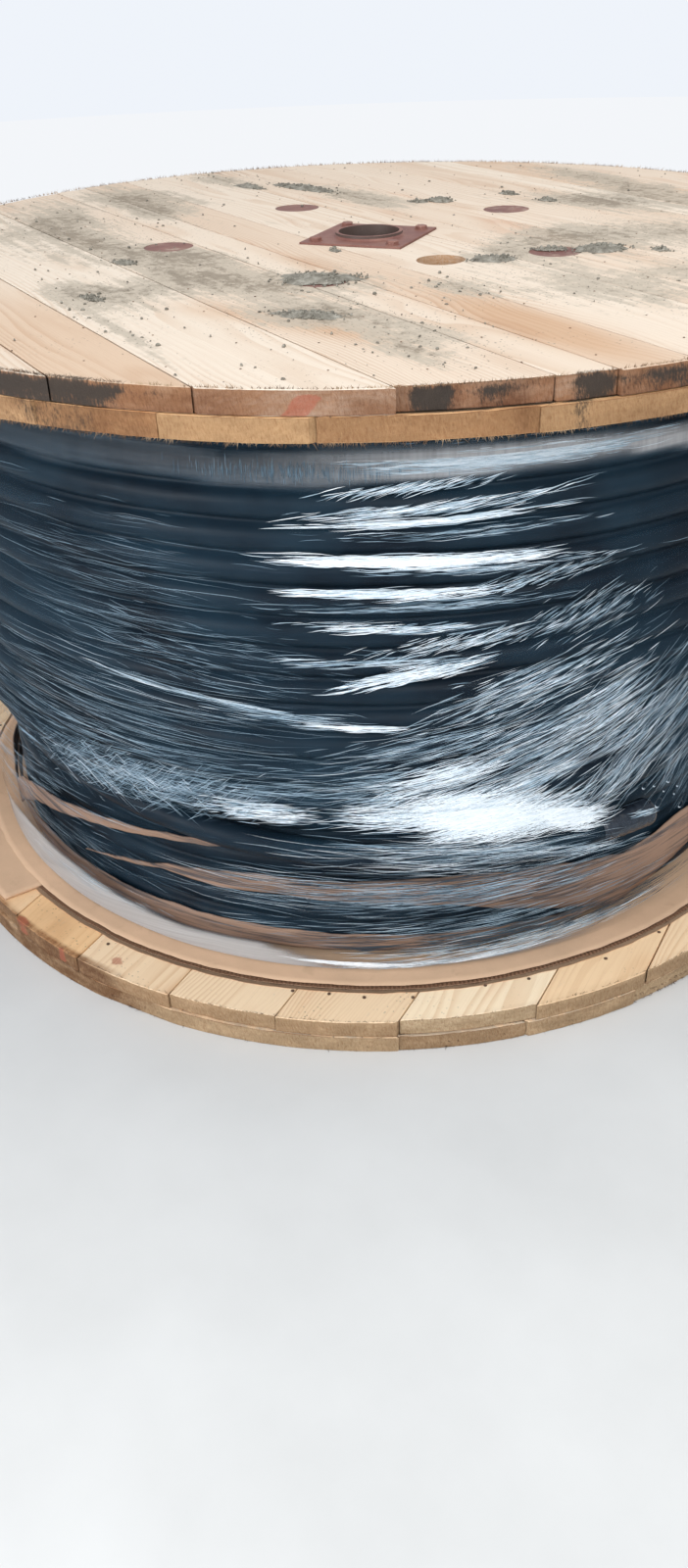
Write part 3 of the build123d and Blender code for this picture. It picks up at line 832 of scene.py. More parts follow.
# Cap: black heat-shrink with an adhesive lip, wrinkled where it gripped the sheath.
# It is drawn over the cable's end and closed with a rounded nose.
cap_path, cap_radii = [], []
cap_length, cap_overlap, cap_radius, nose_start = 0.108, 0.012, 0.0235, 0.86
tip = end_path[-1]
along = (end_path[-1] - end_path[-2]).normalized()
inward = Vector((-tip.x, -tip.y, 0)).normalized()
for k in range(30):
    t = k / 29
    s = cap_length * t - cap_overlap
    cap_path.append(tip + along * s + inward * (0.5 * max(s, 0) ** 2 / 0.775))
    swell = cap_radius + 0.0006 * math.sin(t * 37) * (1 - t) + (0.0012 if k in (1, 2) else 0)
    if t > nose_start:
        swell = 0.0242 * math.sqrt(max(1 - ((t - nose_start) / 0.15) ** 2 * 0.75, 0.05))
    cap_radii.append(swell)
cap_coat = Coat("heat_shrink")
cap_wave = cap_coat.place.cloud(90.0, 4.0)
cap_tone = cap_wave.ramp((0.3, (0.012, 0.016, 0.024)), (0.7, (0.030, 0.040, 0.056)))
shrink = cap_coat.finish(Base_Color=cap_tone, Roughness=0.27, Normal=cap_wave.bumped(0.001))
enter(settle("shrink_cap", *tube(cap_path, cap_radii, 28), shrink), "cable_end_cap")


# Cardboard: a double-wall corrugated sheet lies between the winding and the lower flange,
# with a flap that reaches the rim. Its edges are cut by hand and show the flutes.
def kraft(name, pale, darkened_by):
    """Card: flecked, creased, streaked dark grey the more the larger the last argument, with painted shade
    on its flutes.
    """
    coat = Coat(name)
    place = coat.place
    fibres = place.cloud(420.0, 3.0, 0.7)
    tone = place.cloud(5.0, 5.0, 0.6).ramp((0.3, [0.78 * c for c in pale]), (0.7, pale))
    crease = place.times((1.0, 1.0, 2.2)).cloud(24.0, 3.0, 0.6, 0.4)
    dark_streaks = place.times((4.0, 4.0, 130.0)).cloud(1.0, 4.0, 0.7)
    card = coat.stained(tone, (0.30, 0.19, 0.11), fibres.between(0.62, 0.74) * 0.35)
    card = coat.stained(card, (0.30, 0.19, 0.12), crease.between(0.60, 0.76) * 0.22)
    card = coat.stained(card, (0.055, 0.055, 0.062), dark_streaks.between(0.46, 0.66) * darkened_by)
    # Painted shade: the flutes, set back between the papers, are darkened.
    card = coat.stained(card, (0.16, 0.075, 0.04), coat.mark("edge") * 0.9)
    relief = (fibres * 0.25 + crease).bumped(0.0012, 0.6)
    return coat.finish(Base_Color=card, Roughness=0.85, Normal=relief, Specular_IOR_Level=0.2)


kraft_coat = kraft("kraft_card", (0.69, 0.46, 0.30), 0.0)
shift_x, shift_y = 0.005, -0.004
sheet_top, sheet_foot, sheet_radius = 0.0712, 0.0643, 0.8235
edge_count = 900


def cut_edge(a, out, z, inset=0.0):
    """A point on the sheet's round outline, which wavers from paper to paper."""
    r = sheet_radius + 0.0022 * uneven(a, 4, 1.3) + 0.0008 * uneven(a, 22, 4.0)
    r += out + 0.0016 * uneven(a, 30, out * 900) - inset
    return (r * math.cos(a) + shift_x, r * math.sin(a) + shift_y, z)


verts, faces = [], []
length = edge_count + 1
bearings = [2 * math.pi * k / edge_count for k in range(length)]
for level, out in ((sheet_top, -0.0070), (0.0680, -0.0015), (0.0648, 0.0035)):
    faces += lattice(len(verts), 2, length)
    verts += [cut_edge(a, out, z) for z in (level, level - 0.0005) for a in bearings]
inner = len(verts)
bands = [0.40, 0.70, 0.78, 0.805]
for z in (sheet_top, sheet_foot):
    for r in bands:
        for a in bearings:
            sag = 0.0004 * (1 + rough(r * 60, a * 8, 2.0)) if z > 0.07 else 0
            moved = r > 0.5
            verts.append((r * math.cos(a) + shift_x * moved, r * math.sin(a) + shift_y * moved, z - sag))
faces += lattice(inner, len(bands), length, then=0)
faces += lattice(inner + len(bands) * length, len(bands), length, then=5 * length, flip=True)
papers = len(verts)
flute_steps = 720 * 6
for top, low, out in ((0.0707, 0.0680, -0.0078), (0.0675, 0.0648, -0.0023)):
    faces += lattice(len(verts), flute_steps + 1, 2)
    for k in range(flute_steps + 1):
        z = (top + low) / 2 + (top - low) / 2 * math.sin(k * math.pi / 3)
        verts += [cut_edge(2 * math.pi * k / flute_steps, out, z, inset) for inset in (0.0003, 0.012)]
liner = settle("corrugated_sheet", verts, faces, kraft_coat)
# The flutes take the painted shade.
spread(liner, "edge", [0.0] * papers + [1.0] * (len(verts) - papers))
enter(liner, "cardboard_liner")

flap_start, flap_run, flap_root, flap_reach = -0.243, 0.389, 0.80, 0.889
verts = []
for k in range(41):
    t = k / 40
    along_rim = flap_start + flap_run * t
    inner_y, outer_y = [-math.sqrt(r**2 - along_rim**2) for r in (flap_root, flap_reach)]
    for s in range(9):
        w = s / 8
        reach = inner_y + (outer_y - inner_y) * w
        lift = 0.0009 * (1 + rough(along_rim * 9, reach * 9, 3.0)) * w
        verts.append((along_rim + 0.004 * w * t, reach, 0.0701 + lift))
top_faces = lattice(0, 41, 9)
shell = len(verts)
verts += [(x, y, 0.0645) for x, y, z in verts]
border = [k * 9 for k in range(41)] + [360 + s for s in range(1, 9)]
border += [k * 9 + 8 for k in range(39, -1, -1)] + list(range(7, 0, -1))
faces = top_faces + [tuple(shell + v for v in f[::-1]) for f in top_faces]
faces += bridge([shell + v for v in border], border)
enter(settle("corrugated_flap", verts, faces, kraft_coat), "cardboard_liner")

# Card strips: pieces of the same board laid round the deeper turns under the film, torn
# along their edges and slanting, so that dark cable shows between them. Each run below has
# its radius, and then the foot and top at each angle in millimetres.
strip_runs = [
    (0.762, (
        (-140, 80, 110), (-98, 85, 140), (-94, 126, 178), (-86.5, 180, 222),
        (-76.6, 220, 245), (-62, 260, 275), (-46, 290, 294),
    )),
    (0.758, (
        (-74, 158, 161), (-59.6, 198, 208), (-50, 194, 229), (-41.8, 199, 235),
        (-22.3, 180, 236), (-10, 134, 222), (1, 90, 196), (10, 124, 215),
        (30, 170, 232), (62, 205, 236),
    )),
    (0.754, (
        (-150, 78, 110), (-90, 80, 118), (-66, 80, 120), (-40, 88, 124),
        (-18, 90, 116), (2, 95, 99),
    )),
    (0.753, ((60, 150, 262), (150, 186, 244), (228, 217, 228))),
    (0.757, ((28, 78, 128), (120, 84, 134), (214, 78, 128))),
]
strip_thick = 0.0025
verts, faces = [], []
upward_shares = [s / 6 for s in range(7)]
for r, outline in strip_runs:
    stops, lows, highs = zip(*outline)
    count = int((stops[-1] - stops[0]) / 0.7)
    faces += lattice(len(verts), count + 1, 14, closed=True)
    for k in range(count + 1):
        a = stops[0] + (stops[-1] - stops[0]) * k / count
        low, high = np.interp(a, stops, lows) / 1000, np.interp(a, stops, highs) / 1000
        fade = min((a - stops[0]) / 6, (stops[-1] - a) / 6, 1)
        mid = (low + high) / 2
        low = mid + (low - mid) * fade + 0.003 * rough(a * 0.4, 1.0, r * 90) * fade
        high = mid + (high - mid) * fade + 0.004 * rough(a * 0.35, 5.0, r * 90) * fade
        skins = [(w, 0.0) for w in upward_shares] + [(w, strip_thick) for w in reversed(upward_shares)]
        for w, inset in skins:
            reach = r + 0.004 * rough(a * 0.12, w * 2, r * 50) + 0.003 - inset
            verts.append(at(math.radians(a), reach, low + (high - low) * w))
strips = settle("card_strips", verts, faces, kraft("kraft_strip", (0.37, 0.235, 0.165), 0.85))
enter(strips, "cardboard_strip")

# Stretch film: many turns of clear film pulled tight round the winding. It is milky where
# it lies thick, pulled into strings where it bridges the end of the cable, and gathered
# into a whitish rope along its foot. Its bright strings are painted highlights, placed
# along the turns and over the cable's end.
film_columns, film_rows = 600, 96
film_top, film_foot, film_break, film_reach = 0.9845, 0.0735, 0.262, 0.7995


def film_radius(a, z):
    """The film's distance from the axis: drawn in over each groove and in to the foot."""
    r = film_reach
    if z > outer_foot:
        wound = (z - outer_foot) / pitch + (a - math.radians(end_start)) / (2 * math.pi)
        r -= 0.0032 * (1 - math.sin(math.pi * (wound % 1.0))) ** 1.5
    r += 0.0012 * uneven(a, 6, z * 14)
    if z < film_break:
        t = (film_break - z) / (film_break - film_foot)
        r -= 0.0125 * t * t + 0.004 * math.sin(math.pi * min(t, 1.0))
    return r


verts = []
for i in range(film_columns):
    a = 2 * math.pi * i / film_columns
    for j in range(film_rows + 1):
        z = film_top + (film_foot - film_top) * j / film_rows
        verts.append(at(a, film_radius(a, z), z))
faces = lattice(0, film_columns, film_rows + 1, then=0, flip=True)
film_coat = Coat("stretch_film")
place = film_coat.place
shine, milk, pleats = [film_coat.mark(name) for name in ("shine", "milk", "pleats")]


def drawn(run, across):
    """A place in which noise comes out as strings along the pull of the film."""
    return place.times((run, run, 0.0)).moved(film_coat.spot(0.0, 0.0, film_coat.mark("flow") * across))


strings = drawn(5.0, 330.0).cloud(1.0, 4.0, 0.65)
hairs = drawn(11.0, 760.0).cloud(1.0, 3.0, 0.6)
patchy = drawn(6.0, 70.0).cloud(1.0, 3.0, 0.6) - 0.5
veil = drawn(2.5, 30.0).cloud(1.0, 5.0, 0.65)
upright = place.times((120.0, 120.0, 6.0)).cloud(1.0, 3.0, 0.55)
# Painted highlight: lit takes the shine and crossed-highlight marks, and glow, where they lift the strings,
# is painted pale blue-white into the film's colour and made more opaque.
lit = shine * (1.0 + patchy * 2.0) * 0.115 + film_coat.mark("scratched") * 0.02
glow = (strings * 0.6 + hairs * 0.4 + lit).between(0.60, 0.82)
band = milk * (0.80 + (upright - 0.5) * pleats * 0.7 + (strings - 0.5) * 0.6)
see = (0.018 + (veil - 0.5) * 0.30 + glow * 0.40 + band + (hairs - 0.5) * 0.07).held()
clear = veil.ramp(
    (0.30, (0.006, 0.020, 0.040)), (0.52, (0.022, 0.064, 0.105)), (0.75, (0.080, 0.175, 0.26))
)
low_haze, high_haze = film_coat.plain(0.52, 0.515, 0.515), film_coat.plain(0.46, 0.465, 0.475)
hazed = low_haze.over(high_haze, 1 - place.part(2).between(0.20, 0.40))
film_tone = hazed.over(clear, (milk * 0.9).held())
film_tone = film_coat.stained(film_tone, (0.42, 0.55, 0.66), glow * (1 - milk * 0.6))
relief = (strings + hairs * 0.4 + upright * pleats * 1.2).bumped(0.0006, 0.7)
film_coat.finish(Base_Color=film_tone, Alpha=see, Roughness=0.24 + veil * 0.12)
film = settle("wrapped_film", verts, faces, film_coat.finish(Normal=relief, Specular_IOR_Level=0.07))
x, y, z = points(film).T
theta = np.degrees(np.arctan2(y, x))


def near(value, middle, half, power=2):
    return np.exp(-(np.abs((value - middle) / half) ** power))


def turned_by(middle):
    return (theta - middle + 180) % 360 - 180


fade_out = np.clip((175 - theta) / 110, 0, 1)
fan = 0.15 * (np.clip(theta + 42, 0, 70) / 60) ** 1.5 * near(z, 0.52, 0.20) * fade_out
dip = 0.03 * np.clip(theta + 40, 0, 45) / 45 * near(z, 0.345, 0.06) * fade_out
foot_rise = 0.03 * (np.clip(theta + 30, 0, 60) / 60) ** 1.5 * near(z, 0.12, 0.07) * fade_out
slant = 0.16 * np.clip(-theta - 52, 0, 60) / 60 * near(z, 0.22, 0.20) * risen((theta + 125) / 5)
spread(film, "flow", z - fan + dip - foot_rise + slant)
crest = np.abs(np.sin(math.pi * ((z - outer_foot) / pitch + np.radians(theta - end_start) / (2 * math.pi))))
# Painted highlights: shine bands along the turns' crests where light is reflected, on the near side and on
# three sides round the back.
gleams = [
    (893, -28, 9, 8, 0.6, 0.9), (866, -25, 13, 9, 0.9, 0.7),
    (848, -26, 13, 5, 1.1, 0.4), (793, -26, 14, 10, 1.4, -0.4),
    (748, -29, 11, 7, 1.2, -0.3), (697, -29, 10, 7, 0.8, -0.7),
    (670, -22, 10, 12, 0.7, 1.4), (645, -30, 10, 7, 0.6, 0),
    (622, -28, 8, 12, 1.0, 2.3), (560, -12, 14, 30, 0.5, 3),
    (490, -14, 14, 45, 0.6, 2.8), (540, -33, 5, 6, 0.9, 0),
    (389, -27, 5, 16, 1.3, -0.5), (374, -19, 7, 24, 1.4, -2.2),
    (340, -8, 6, 14, 1.1, -4), (572, -48, 13, 4, 0.8, -1.4),
]
lights = np.full(len(z), 0.10)
for level, middle, half, thick, power, tilt in gleams:
    height = (level + tilt * (theta - middle)) / 1000
    lights += power * near(theta, middle, half, 4) * near(z, height, thick / 1000)
lights += 0.30 * near(z, 0.235, 0.055) * near(theta, -18, 30, 6)
lights += 0.45 * near(z, 0.105, 0.022) * near(theta, -14, 30, 6)
lights += 0.25 * near(z, 0.16, 0.05) * near(theta, -90, 45, 4)
for middle in (75, 150, -150):
    lights += 0.9 * near(turned_by(middle), 0, 24) * (0.25 + 0.75 * crest**3) * near(z, 0.62, 0.26, 4)
    lights += 0.5 * near(turned_by(middle), 0, 34) * near(z, 0.20, 0.09)
spread(film, "shine", np.clip(lights, 0, 1.7))
# Painted highlights: crossed streaks at the left of the near side and round the back.
crossed = near(theta, -62, 19, 4) * near(z, 0.385 + 0.0007 * (theta + 60), 0.05)
crossed += 0.35 * near(theta, -50, 30, 4) * near(z, 0.46, 0.05)
crossed += 0.6 * near(theta, -62, 13) * near(z, 0.155, 0.035)
crossed += 0.6 * near(turned_by(120), 0, 30) * near(z, 0.35, 0.08)
spread(film, "scratched", np.clip(crossed, 0, 1))
band_low = np.interp(
    theta, (-80, -71.6, -64.7, -54.5, -45.3, -35.6, -26.4, -17, -6.8, 0.5, 40),
    (0.904, 0.903, 0.896, 0.907, 0.897, 0.898, 0.904, 0.909, 0.909, 0.899, 0.904),
)
upper_edge = np.interp(
    theta, (-80, -50, -45, -35, -25, -13, 0, 40), (0.947, 0.950, 0.936, 0.946, 0.946, 0.940, 0.930, 0.945)
)
wedge_top = np.interp(
    theta, (-110, -98, -86, -75, -66, -56, -46, -41.7, -37, -33),
    (0.10, 0.140, 0.156, 0.147, 0.129, 0.114, 0.117, 0.101, 0.079, 0.070),
)
grey_band = risen((z - band_low) / 0.0012) * risen((upper_edge - z) / 0.003)
# The milky band is made brighter near -12 degrees and round the back: this is a painted highlight on the
# milky film.
grey_band *= 0.27 + 0.95 * near(theta, -12, 24) + 0.3 * near(turned_by(120), 0, 40)
wedge = risen((wedge_top - z) / 0.0022) * near(theta, -66, 34, 8)
rope = near(z, 0.0815 + 0.0012 * np.clip(-theta - 33, 0, 30), 0.0035) * near(theta, -28, 22, 6)
spread(film, "milk", np.clip(np.maximum(grey_band, np.maximum(wedge, rope)), 0, 1))
spread(film, "pleats", risen((z - band_low) / 0.002))
enter(film, "stretch_film")

# Film pleats: thousands of fine slivers laid on the film, coloured from dark navy to white as
# painted highlights, in sheaves along the turns, fanned out over the cable's end, and crossed at
# the left. Small blisters of it stand round the cap.
chance = random.Random(23)
verts, faces, glint = [], [], []


def sliver(degrees, z, run, wide, slope, tone):
    """One pleat, pointed at both ends, laid on the film; its tone is painted, from dark to highlight."""
    b = len(verts)
    bow = chance.uniform(-0.05, 0.05) * run
    rise, lean = math.sin(slope), math.cos(slope)
    for share in (-0.5, -0.17, 0.19, 0.5):
        for half in (-0.5, 0.5) if abs(share) < 0.4 else (0.0,):
            h = z + run * share * rise + bow * (0.25 - share * share) * 4 + half * wide * lean
            h = min(max(h, film_foot + 0.0004), film_top - 0.0004)
            a = math.radians(degrees) + (run * share * lean - half * wide * rise) / 0.8
            verts.append(at(a, film_radius(a, h) + 0.0004 + 0.0003 * tone, h))
            glint.append(tone)
    faces.extend(((b, b + 1, b + 2), (b + 1, b + 3, b + 4, b + 2), (b + 3, b + 5, b + 4)))


# Each sheaf: how many; middle and half width in degrees; in millimetres its level, spread,
# tilt per degree, shortest and longest run and widest sliver; slopes from, to; painted
# highlight tones from, to.
sheaves = [
    (110, -28, 8, 893, 6, 0.9, 15, 50, 1.5, 0.15, 0.42, 0.5, 1.0),
    (140, -25, 12, 866, 8, 0.7, 20, 80, 1.6, 0.05, 0.22, 0.5, 1.0),
    (110, -26, 12, 848, 4, 0.4, 30, 120, 1.9, -0.02, 0.06, 0.65, 1.0),
    (60, -24, 14, 830, 6, 0, 20, 90, 1.1, -0.02, 0.06, 0.3, 0.8),
    (230, -27, 12, 793, 8.5, -0.4, 30, 130, 2, -0.05, 0.03, 0.7, 1.0),
    (110, -30, 9, 793, 3, -0.4, 40, 140, 2.4, -0.04, 0.0, 0.9, 1.0),
    (60, -20, 14, 776, 5, -0.2, 20, 90, 1.2, -0.04, 0.04, 0.4, 0.9),
    (140, -29, 10, 748, 6, -0.3, 30, 100, 2, -0.03, 0.09, 0.65, 1.0),
    (90, -15, 8, 755, 10, 1, 15, 50, 1.3, 0.12, 0.38, 0.4, 0.9),
    (80, -28, 13, 728, 6, 0, 30, 100, 1.1, -0.03, 0.05, 0.3, 0.8),
    (90, -29, 10, 697, 6, -0.7, 20, 90, 1.5, 0.0, 0.12, 0.5, 1.0),
    (150, -22, 10, 672, 12, 1.4, 15, 50, 1.3, 0.14, 0.44, 0.5, 1.0),
    (150, -9, 8, 690, 28, 1.5, 15, 45, 1.2, 0.30, 0.60, 0.4, 0.9),
    (80, -30, 10, 645, 6, 0, 30, 90, 1.3, 0.0, 0.10, 0.4, 0.9),
    (190, -28, 7, 622, 10, 2.3, 20, 80, 1.8, 0.10, 0.30, 0.6, 1.0),
    (240, -14, 12, 590, 35, 2.8, 20, 90, 1.4, 0.20, 0.45, 0.4, 0.95),
    (460, -13, 14, 485, 75, 1.8, 30, 120, 1.3, 0.18, 0.45, 0.35, 0.95),
    (150, -24, 6, 452, 20, 3, 30, 90, 1.6, 0.14, 0.32, 0.7, 1.0),
    (110, -14, 6, 430, 14, 1.6, 30, 90, 1.4, 0.20, 0.40, 0.5, 1.0),
    (90, -6, 5, 520, 40, 3, 30, 90, 1.6, 0.30, 0.50, 0.6, 1.0),
    (280, 1, 9, 460, 90, 3, 30, 120, 1.3, 0.42, 0.90, 0.35, 0.95),
    (90, -4, 4.5, 392, 24, 1, 20, 80, 1.2, 0.45, 1.00, 0.35, 0.9),
    (60, 6, 4, 350, 60, 0, 20, 90, 1.1, 0.80, 1.25, 0.25, 0.7),
    (140, 14, 10, 560, 130, 0, 30, 110, 1.3, 0.45, 0.95, 0.2, 0.7),
    (70, -50, 12, 576, 4, -1.4, 30, 100, 1.2, -0.13, -0.05, 0.4, 0.9),
    (60, -33, 5, 542, 5, -0.6, 30, 80, 1.8, -0.05, 0.05, 0.7, 1.0),
    (70, -40, 9, 555, 10, -1, 30, 80, 1.1, -0.10, 0.0, 0.3, 0.8),
    (130, -50, 16, 640, 60, 0, 20, 90, 0.9, -0.25, 0.0, 0.2, 0.65),
    (90, -58, 14, 760, 70, 0, 30, 120, 0.9, -0.12, 0.04, 0.15, 0.5),
    (240, -30, 6, 385, 20, -0.8, 20, 90, 1.4, -0.10, 0.22, 0.65, 1.0),
    (1150, -20, 7.5, 371, 33, -2.2, 30, 100, 1.8, -0.12, 0.34, 0.75, 1.0),
    (400, -10, 5.0, 343, 20, -3.6, 30, 80, 1.8, -0.26, 0.30, 0.75, 1.0),
    (120, -32, 8, 440, 28, 1, 30, 90, 1.1, 0.0, 0.22, 0.3, 0.85),
    (140, -27, 9, 500, 30, 2, 30, 100, 1.1, 0.10, 0.30, 0.3, 0.8),
    (300, -18, 13, 394, 22, -2.4, 20, 75, 1.5, 0.16, 0.50, 0.6, 1.0),
    (330, -57, 17, 402, 30, 0.4, 20, 90, 1, -0.06, 0.05, 0.22, 0.75),
    (520, -58, 16, 402, 34, 0.4, 12, 55, 0.8, 0.42, 0.85, 0.25, 0.8),
    (170, -62, 14, 390, 36, 0.6, 15, 60, 1, -0.75, -0.35, 0.35, 0.9),
    (160, -44, 7, 385, 16, 0, 20, 70, 1.5, -0.02, 0.20, 0.6, 1.0),
    (240, -72, 16, 460, 90, 0, 30, 140, 1, -0.12, 0.04, 0.2, 0.6),
    (140, -50, 20, 445, 35, 0, 40, 120, 1.1, 0.0, 0.08, 0.2, 0.6),
    (40, 1.0, 2.0, 302, 5, -3, 12, 35, 1.6, -0.25, 0.05, 0.45, 0.85),
    (110, -21, 16, 312, 22, -1.6, 50, 140, 1.2, -0.16, 0.06, 0.3, 0.95),
    (60, -7, 7, 270, 10, -3, 30, 90, 1.2, -0.25, 0.0, 0.4, 0.9),
    (260, -22, 20, 225, 32, 0, 30, 120, 1.2, -0.04, 0.10, 0.3, 0.75),
    (220, -24, 24, 240, 40, 0, 40, 140, 2.2, -0.02, 0.10, 0.0, 0.12),
    (170, -20, 26, 160, 26, 0, 40, 120, 1.3, 0.0, 0.12, 0.15, 0.75),
    (240, -12, 22, 125, 22, 0, 40, 140, 2.4, 0.0, 0.12, 0.0, 0.15),
    (230, -14, 20, 104, 16, 0.2, 30, 120, 1.2, 0.0, 0.14, 0.35, 0.95),
    (120, -22, 13, 84, 4, 0.4, 30, 100, 1.3, 0.0, 0.10, 0.5, 1.0),
    (150, -35, 6, 85.5, 2.5, -0.6, 30, 90, 1.6, -0.06, -0.02, 0.8, 1.0),
    (130, -80, 20, 215, 40, 0, 40, 140, 1, -0.30, -0.10, 0.15, 0.6),
    (50, -72, 14, 125, 18, 0.8, 30, 100, 1, -0.25, 0.05, 0.5, 0.9),
    (170, -86, 20, 300, 55, 0, 30, 120, 1.1, -0.06, 0.06, 0.2, 0.7),
    (620, -18, 13, 924, 10, 0, 20, 90, 1.1, -0.012, 0.012, 0.50, 0.85),
    (230, -38, 12, 917, 9, 0, 8, 26, 1, 1.50, 1.64, 0.24, 0.42),
    (60, -14, 16, 955, 8, 0, 20, 70, 1.2, -0.02, 0.04, 0.02, 0.45),
]
for middle in (75, 150, -150):
    for turn in range(11):
        aside_by, level = middle + 5 * math.sin(turn * 2.4), 412 + turn * pitch * 1000
        sheaves.append((75, aside_by, 20, level, 7, -0.127, 30, 130, 1.8, -0.04, 0.10, 0.4, 1.0))
    sheaves.append((260, middle, 30, 200, 90, 0, 30, 130, 1.5, -0.06, 0.12, 0.15, 0.8))
    sheaves.append((170, middle, 50, 925, 10, 0, 20, 90, 1.6, -0.02, 0.03, 0.3, 0.8))
sheaves += [
    (1500, 140, 130, 500, 420, 0, 30, 130, 1.1, -0.15, 0.18, 0.12, 0.5),
    (110, -58, 20, 520, 90, 0, 120, 300, 0.7, -0.10, 0.03, 0.35, 0.8),
    (60, -60, 18, 720, 90, 0, 120, 300, 0.6, -0.06, 0.02, 0.3, 0.65),
    (90, -24, 15, 300, 30, -1.2, 80, 200, 0.9, -0.14, 0.10, 0.5, 1.0),
    (70, -40, 14, 240, 45, 0, 100, 220, 0.8, -0.10, 0.04, 0.4, 0.9),
]
crowding, fineness = 1.25, 0.74
for count, middle, half, *sizes, gentlest, steepest, darkest, brightest in sheaves:
    level, high, tilt, short, long, widest = [size / 1000 for size in sizes]
    for _ in range(int(count * crowding)):
        off = half * (chance.random() + chance.random() - 1 + chance.uniform(-0.35, 0.35))
        height = level + tilt * off + high * (sum(chance.random() for _ in range(3)) - 1.5) * 1.1
        run = short + (long - short) * chance.random() ** 1.6
        wide = fineness * widest * chance.uniform(0.35, 1.0)
        slope = chance.uniform(gentlest, steepest)
        sliver(middle + off, height, run, wide, slope, chance.uniform(darkest, brightest))
# Blisters: dark rings, each with a painted highlight on one side.
for degrees, level, size in (
    (0.3, 0.357, 0.006), (1.9, 0.352, 0.005), (4.2, 0.350, 0.007), (5.9, 0.330, 0.005),
    (2.9, 0.310, 0.008), (6.9, 0.284, 0.006), (5.5, 0.316, 0.004), (3.6, 0.332, 0.004),
):
    faces += lattice(len(verts), 12, 2, then=len(verts))
    for k in range(12):
        a = 2 * math.pi * k / 12
        for reach in (size, size - 0.0013):
            h, turn = level + reach * math.sin(a) * 1.2, math.radians(degrees) + reach * math.cos(a) / 0.8
            verts.append(at(turn, film_radius(turn, h) + 0.0009, h))
            glint.append(0.85 if 7 <= k <= 9 else 0.0)
pleat_coat = Coat("film_highlight_sliver")
# Painted highlights: the glint mark turns a sliver from dark navy to near white.
pleat_highlight_tone = pleat_coat.mark("glint").ramp(
    (0.0, (0.010, 0.018, 0.028)), (0.3, (0.050, 0.100, 0.145)),
    (0.65, (0.33, 0.46, 0.56)), (1.0, (0.93, 0.97, 1.0)),
)
pleat_highlight_film = pleat_coat.finish(Base_Color=pleat_highlight_tone, Roughness=0.3, Specular_IOR_Level=0.4)
slivers = settle("film_highlight_slivers", verts, faces, pleat_highlight_film)
spread(slivers, "glint", glint)
enter(slivers)

# Soil: grey soil has dried on the upper face in low piles, with clods on and round them,
# and in loose crumbs over the whole face. It lies on the boards and the hub plate.
verts, faces = [], []
chance = random.Random(4)
board_face, plate_face, lid = 1.0502, 1.0526, 1.0590


def clod(x, y, level, size, height, detail):
    """One crumb: a low lump with an uneven outline, flat beneath."""
    base = len(verts)
    seed = chance.uniform(0, 99)
    spin, stretch = chance.uniform(0, math.pi), chance.uniform(0.16, 0.8)
    rings = [(1.0, 0.0), (0.92, 0.45), (0.62, 0.85)] if detail > 6 else [(1.0, 0.0), (0.72, 0.75)]
    for scale, up in rings:
        for k in range(detail):
            a = 2 * math.pi * k / detail
            r = size * scale * (1 + 0.38 * rough(math.cos(a) * 1.7 + seed, math.sin(a) * 1.7, seed))
            dx, dy = spun(r * math.cos(a), r * math.sin(a) * stretch, math.degrees(spin))
            top = level + height * up * (1 + 0.3 * rough(seed, k * 1.3, up * 5))
            verts.append((x + dx, y + dy, min(top, lid)))
    verts.append((x + size * 0.1, y, min(level + height, lid)))
    faces.extend(lattice(base, len(rings), detail, closed=True, flip=True))
    last, peak = len(verts) - 1 - detail, len(verts) - 1
    faces.extend((last + k, last + (k + 1) % detail, peak) for k in range(detail))
    faces.append(range(base, base + detail)[::-1])


def pile(x, y, long, wide, height, turn, count):
    """A spill of soil: a low uneven bank with loose clods on and round it."""
    faces.extend(lattice(len(verts), 8, 36, closed=True))
    seed = x * 31 + y * 17
    for share in range(8):
        w = share / 7
        for k in range(36):
            a = 2 * math.pi * k / 36
            ragged = 1 + 0.35 * rough(math.cos(a) * 2.2 + seed, math.sin(a) * 2.2, 1.0)
            ragged += 0.18 * uneven(a, 7, seed)
            dx, dy = spun(long * w * ragged * math.cos(a), wide * w * ragged * math.sin(a), turn)
            crust = (1 - w**1.6) * (0.55 + 0.45 * rough((x + dx) * 55, (y + dy) * 55, seed))
            crust += 0.16 * rough((x + dx) * 150, (y + dy) * 150, seed)
            rise = height * max(crust, 0) * (1 - w**6) if w < 1 else -0.0006
            verts.append((x + dx, y + dy, min(board_face + rise, lid)))
    for _ in range(count):
        a, w = chance.uniform(0, 2 * math.pi), chance.uniform(0.1, 1.35)
        dx, dy = spun(long * w * math.cos(a), wide * w * math.sin(a), turn)
        size = chance.uniform(0.0012, 0.0046) * (1.3 - 0.5 * w)
        lift = height * 0.5 * max(1 - w, 0)
        clod(x + dx, y + dy, board_face + lift - 0.0004, size, size * chance.uniform(0.7, 1.2), 7)


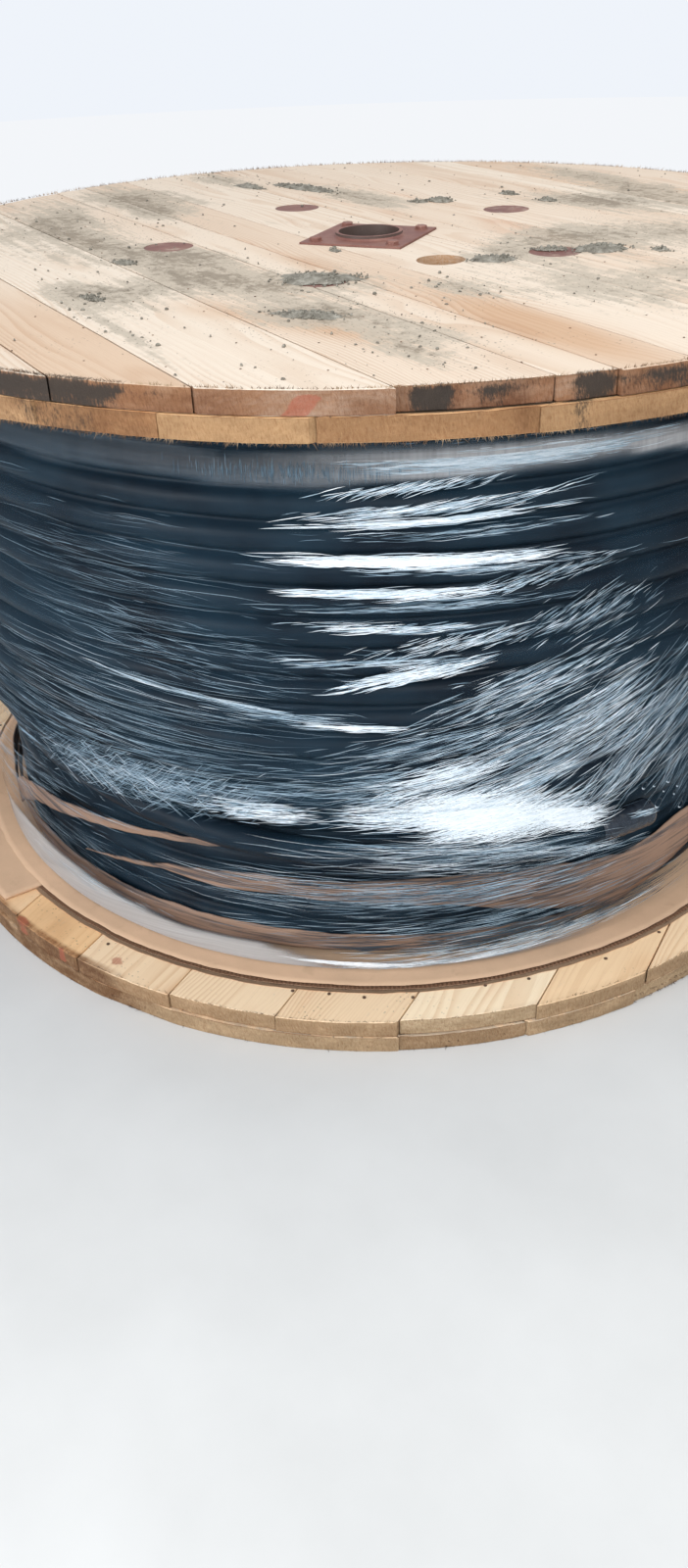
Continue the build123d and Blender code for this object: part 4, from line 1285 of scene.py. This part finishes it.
for *sizes, turn, count in (
    (238, -235, 62, 40, 8.5, 50, 120), (428, -355, 55, 20, 7, 40, 80),
    (-540, 170, 95, 22, 8.5, 12, 90), (-640, 90, 50, 16, 7, 8, 40),
    (-222, 298, 30, 20, 8.5, 10, 40), (-240, 258, 20, 11, 6, 30, 22),
    (333, 233, 42, 30, 8.8, 60, 90), (285, 168, 26, 12, 5, 50, 40),
    (290, 53, 36, 24, 8, 60, 70), (-67, -425, 24, 13, 6, 20, 24),
    (-197, 443, 22, 12, 8, 20, 20), (-87, 453, 22, 10, 7, 20, 18),
    (140, -560, 30, 10, 4, 10, 30), (70, -108, 14, 8, 4.5, 0, 10),
    (400, 300, 20, 10, 5, 0, 16),
):
    pile(*[size / 1000 for size in sizes], turn, count)
for k in range(3400):
    a, w = chance.uniform(0, 2 * math.pi), math.sqrt(chance.random()) * 0.885
    x, y = w * math.cos(a), w * math.sin(a)
    if k % 3:
        cx, cy, rx, ry, turn = smears[chance.randrange(len(smears))]
        dx, dy = spun(chance.gauss(0, rx * 0.7), chance.gauss(0, ry * 0.9), turn)
        x, y = cx + dx, cy + dy
        if math.hypot(x, y) > 0.885:
            continue
    if math.hypot(x - drive[0], y - drive[1]) < 0.045 or math.hypot(x, y) < 0.062:
        continue
    crowd = 0.45 + 0.55 * rough(x * 3.1, y * 3.1, 7.7) + 0.5 * math.exp(-((x / 0.2) ** 2) - (y / 0.2) ** 2)
    if chance.random() > crowd:
        continue
    size = 0.0006 + 0.0032 * chance.random() ** 6
    on_plate = max(abs(v) for v in spun(x, y, -plate_angle)) < 0.091
    clod(x, y, (plate_face if on_plate else board_face) - 0.0003, size, size * chance.uniform(0.6, 1.0), 6)
soil_coat = Coat("dried_soil")
soil_tone = soil_coat.place.cloud(70.0, 5.0, 0.65).ramp(
    (0.32, (0.12, 0.108, 0.086)), (0.5, (0.225, 0.208, 0.172)), (0.68, (0.37, 0.35, 0.30))
)
grit = soil_coat.place.cloud(420.0, 3.0).bumped(0.0012)
soil_earth = soil_coat.finish(Base_Color=soil_tone, Roughness=0.95, Normal=grit)
enter(settle("dried_soil", verts, faces, soil_earth))

# Nails: they hold the crossed boards together. Their round heads are driven flush in rings
# round each flange and have rusted a dull brown.
verts, faces = [], []
nail_steps = ((1.0, -0.0006), (1.0, 0.0003), (0.7, 0.0005))


def nail(a, r, level, direction, across):
    x, y, z = at(a, r, level)
    stud(verts, faces, x, y, z, direction, across, nail_steps, 10)


for radius, step in ((0.825, 7.5), (0.700, 9.0), (0.560, 12.0), (0.455, 15.0)):
    for k in range(int(360 / step)):
        a = math.radians(k * step + chance.uniform(-1, 1) + radius * 50)
        r = radius + chance.uniform(-0.008, 0.008)
        nail(a, r, 1.0496, 1, 0.0014)
        nail(a + 0.02, r, 0.0004, -1, 0.0026)
low_angles = [-64.7, -41.1, -37, -33.1, -27.8, -19.6, -14.6, -5.1]
low_angles += [4 + k * 7.3 + chance.uniform(-2, 2) for k in range(33)]
for degrees in low_angles:
    nail(math.radians(degrees), 0.840 + chance.uniform(-0.006, 0.006), 0.0639, 1, 0.0030)
nail_coat = Coat("rusty_nail")
nail_tone = nail_coat.place.cloud(300.0, 3.0).ramp((0.35, (0.10, 0.065, 0.045)), (0.65, (0.26, 0.16, 0.10)))
rust = nail_coat.finish(Base_Color=nail_tone, Roughness=0.6, Metallic=0.5)
enter(settle("flange_nails", verts, faces, rust, smooth=False))
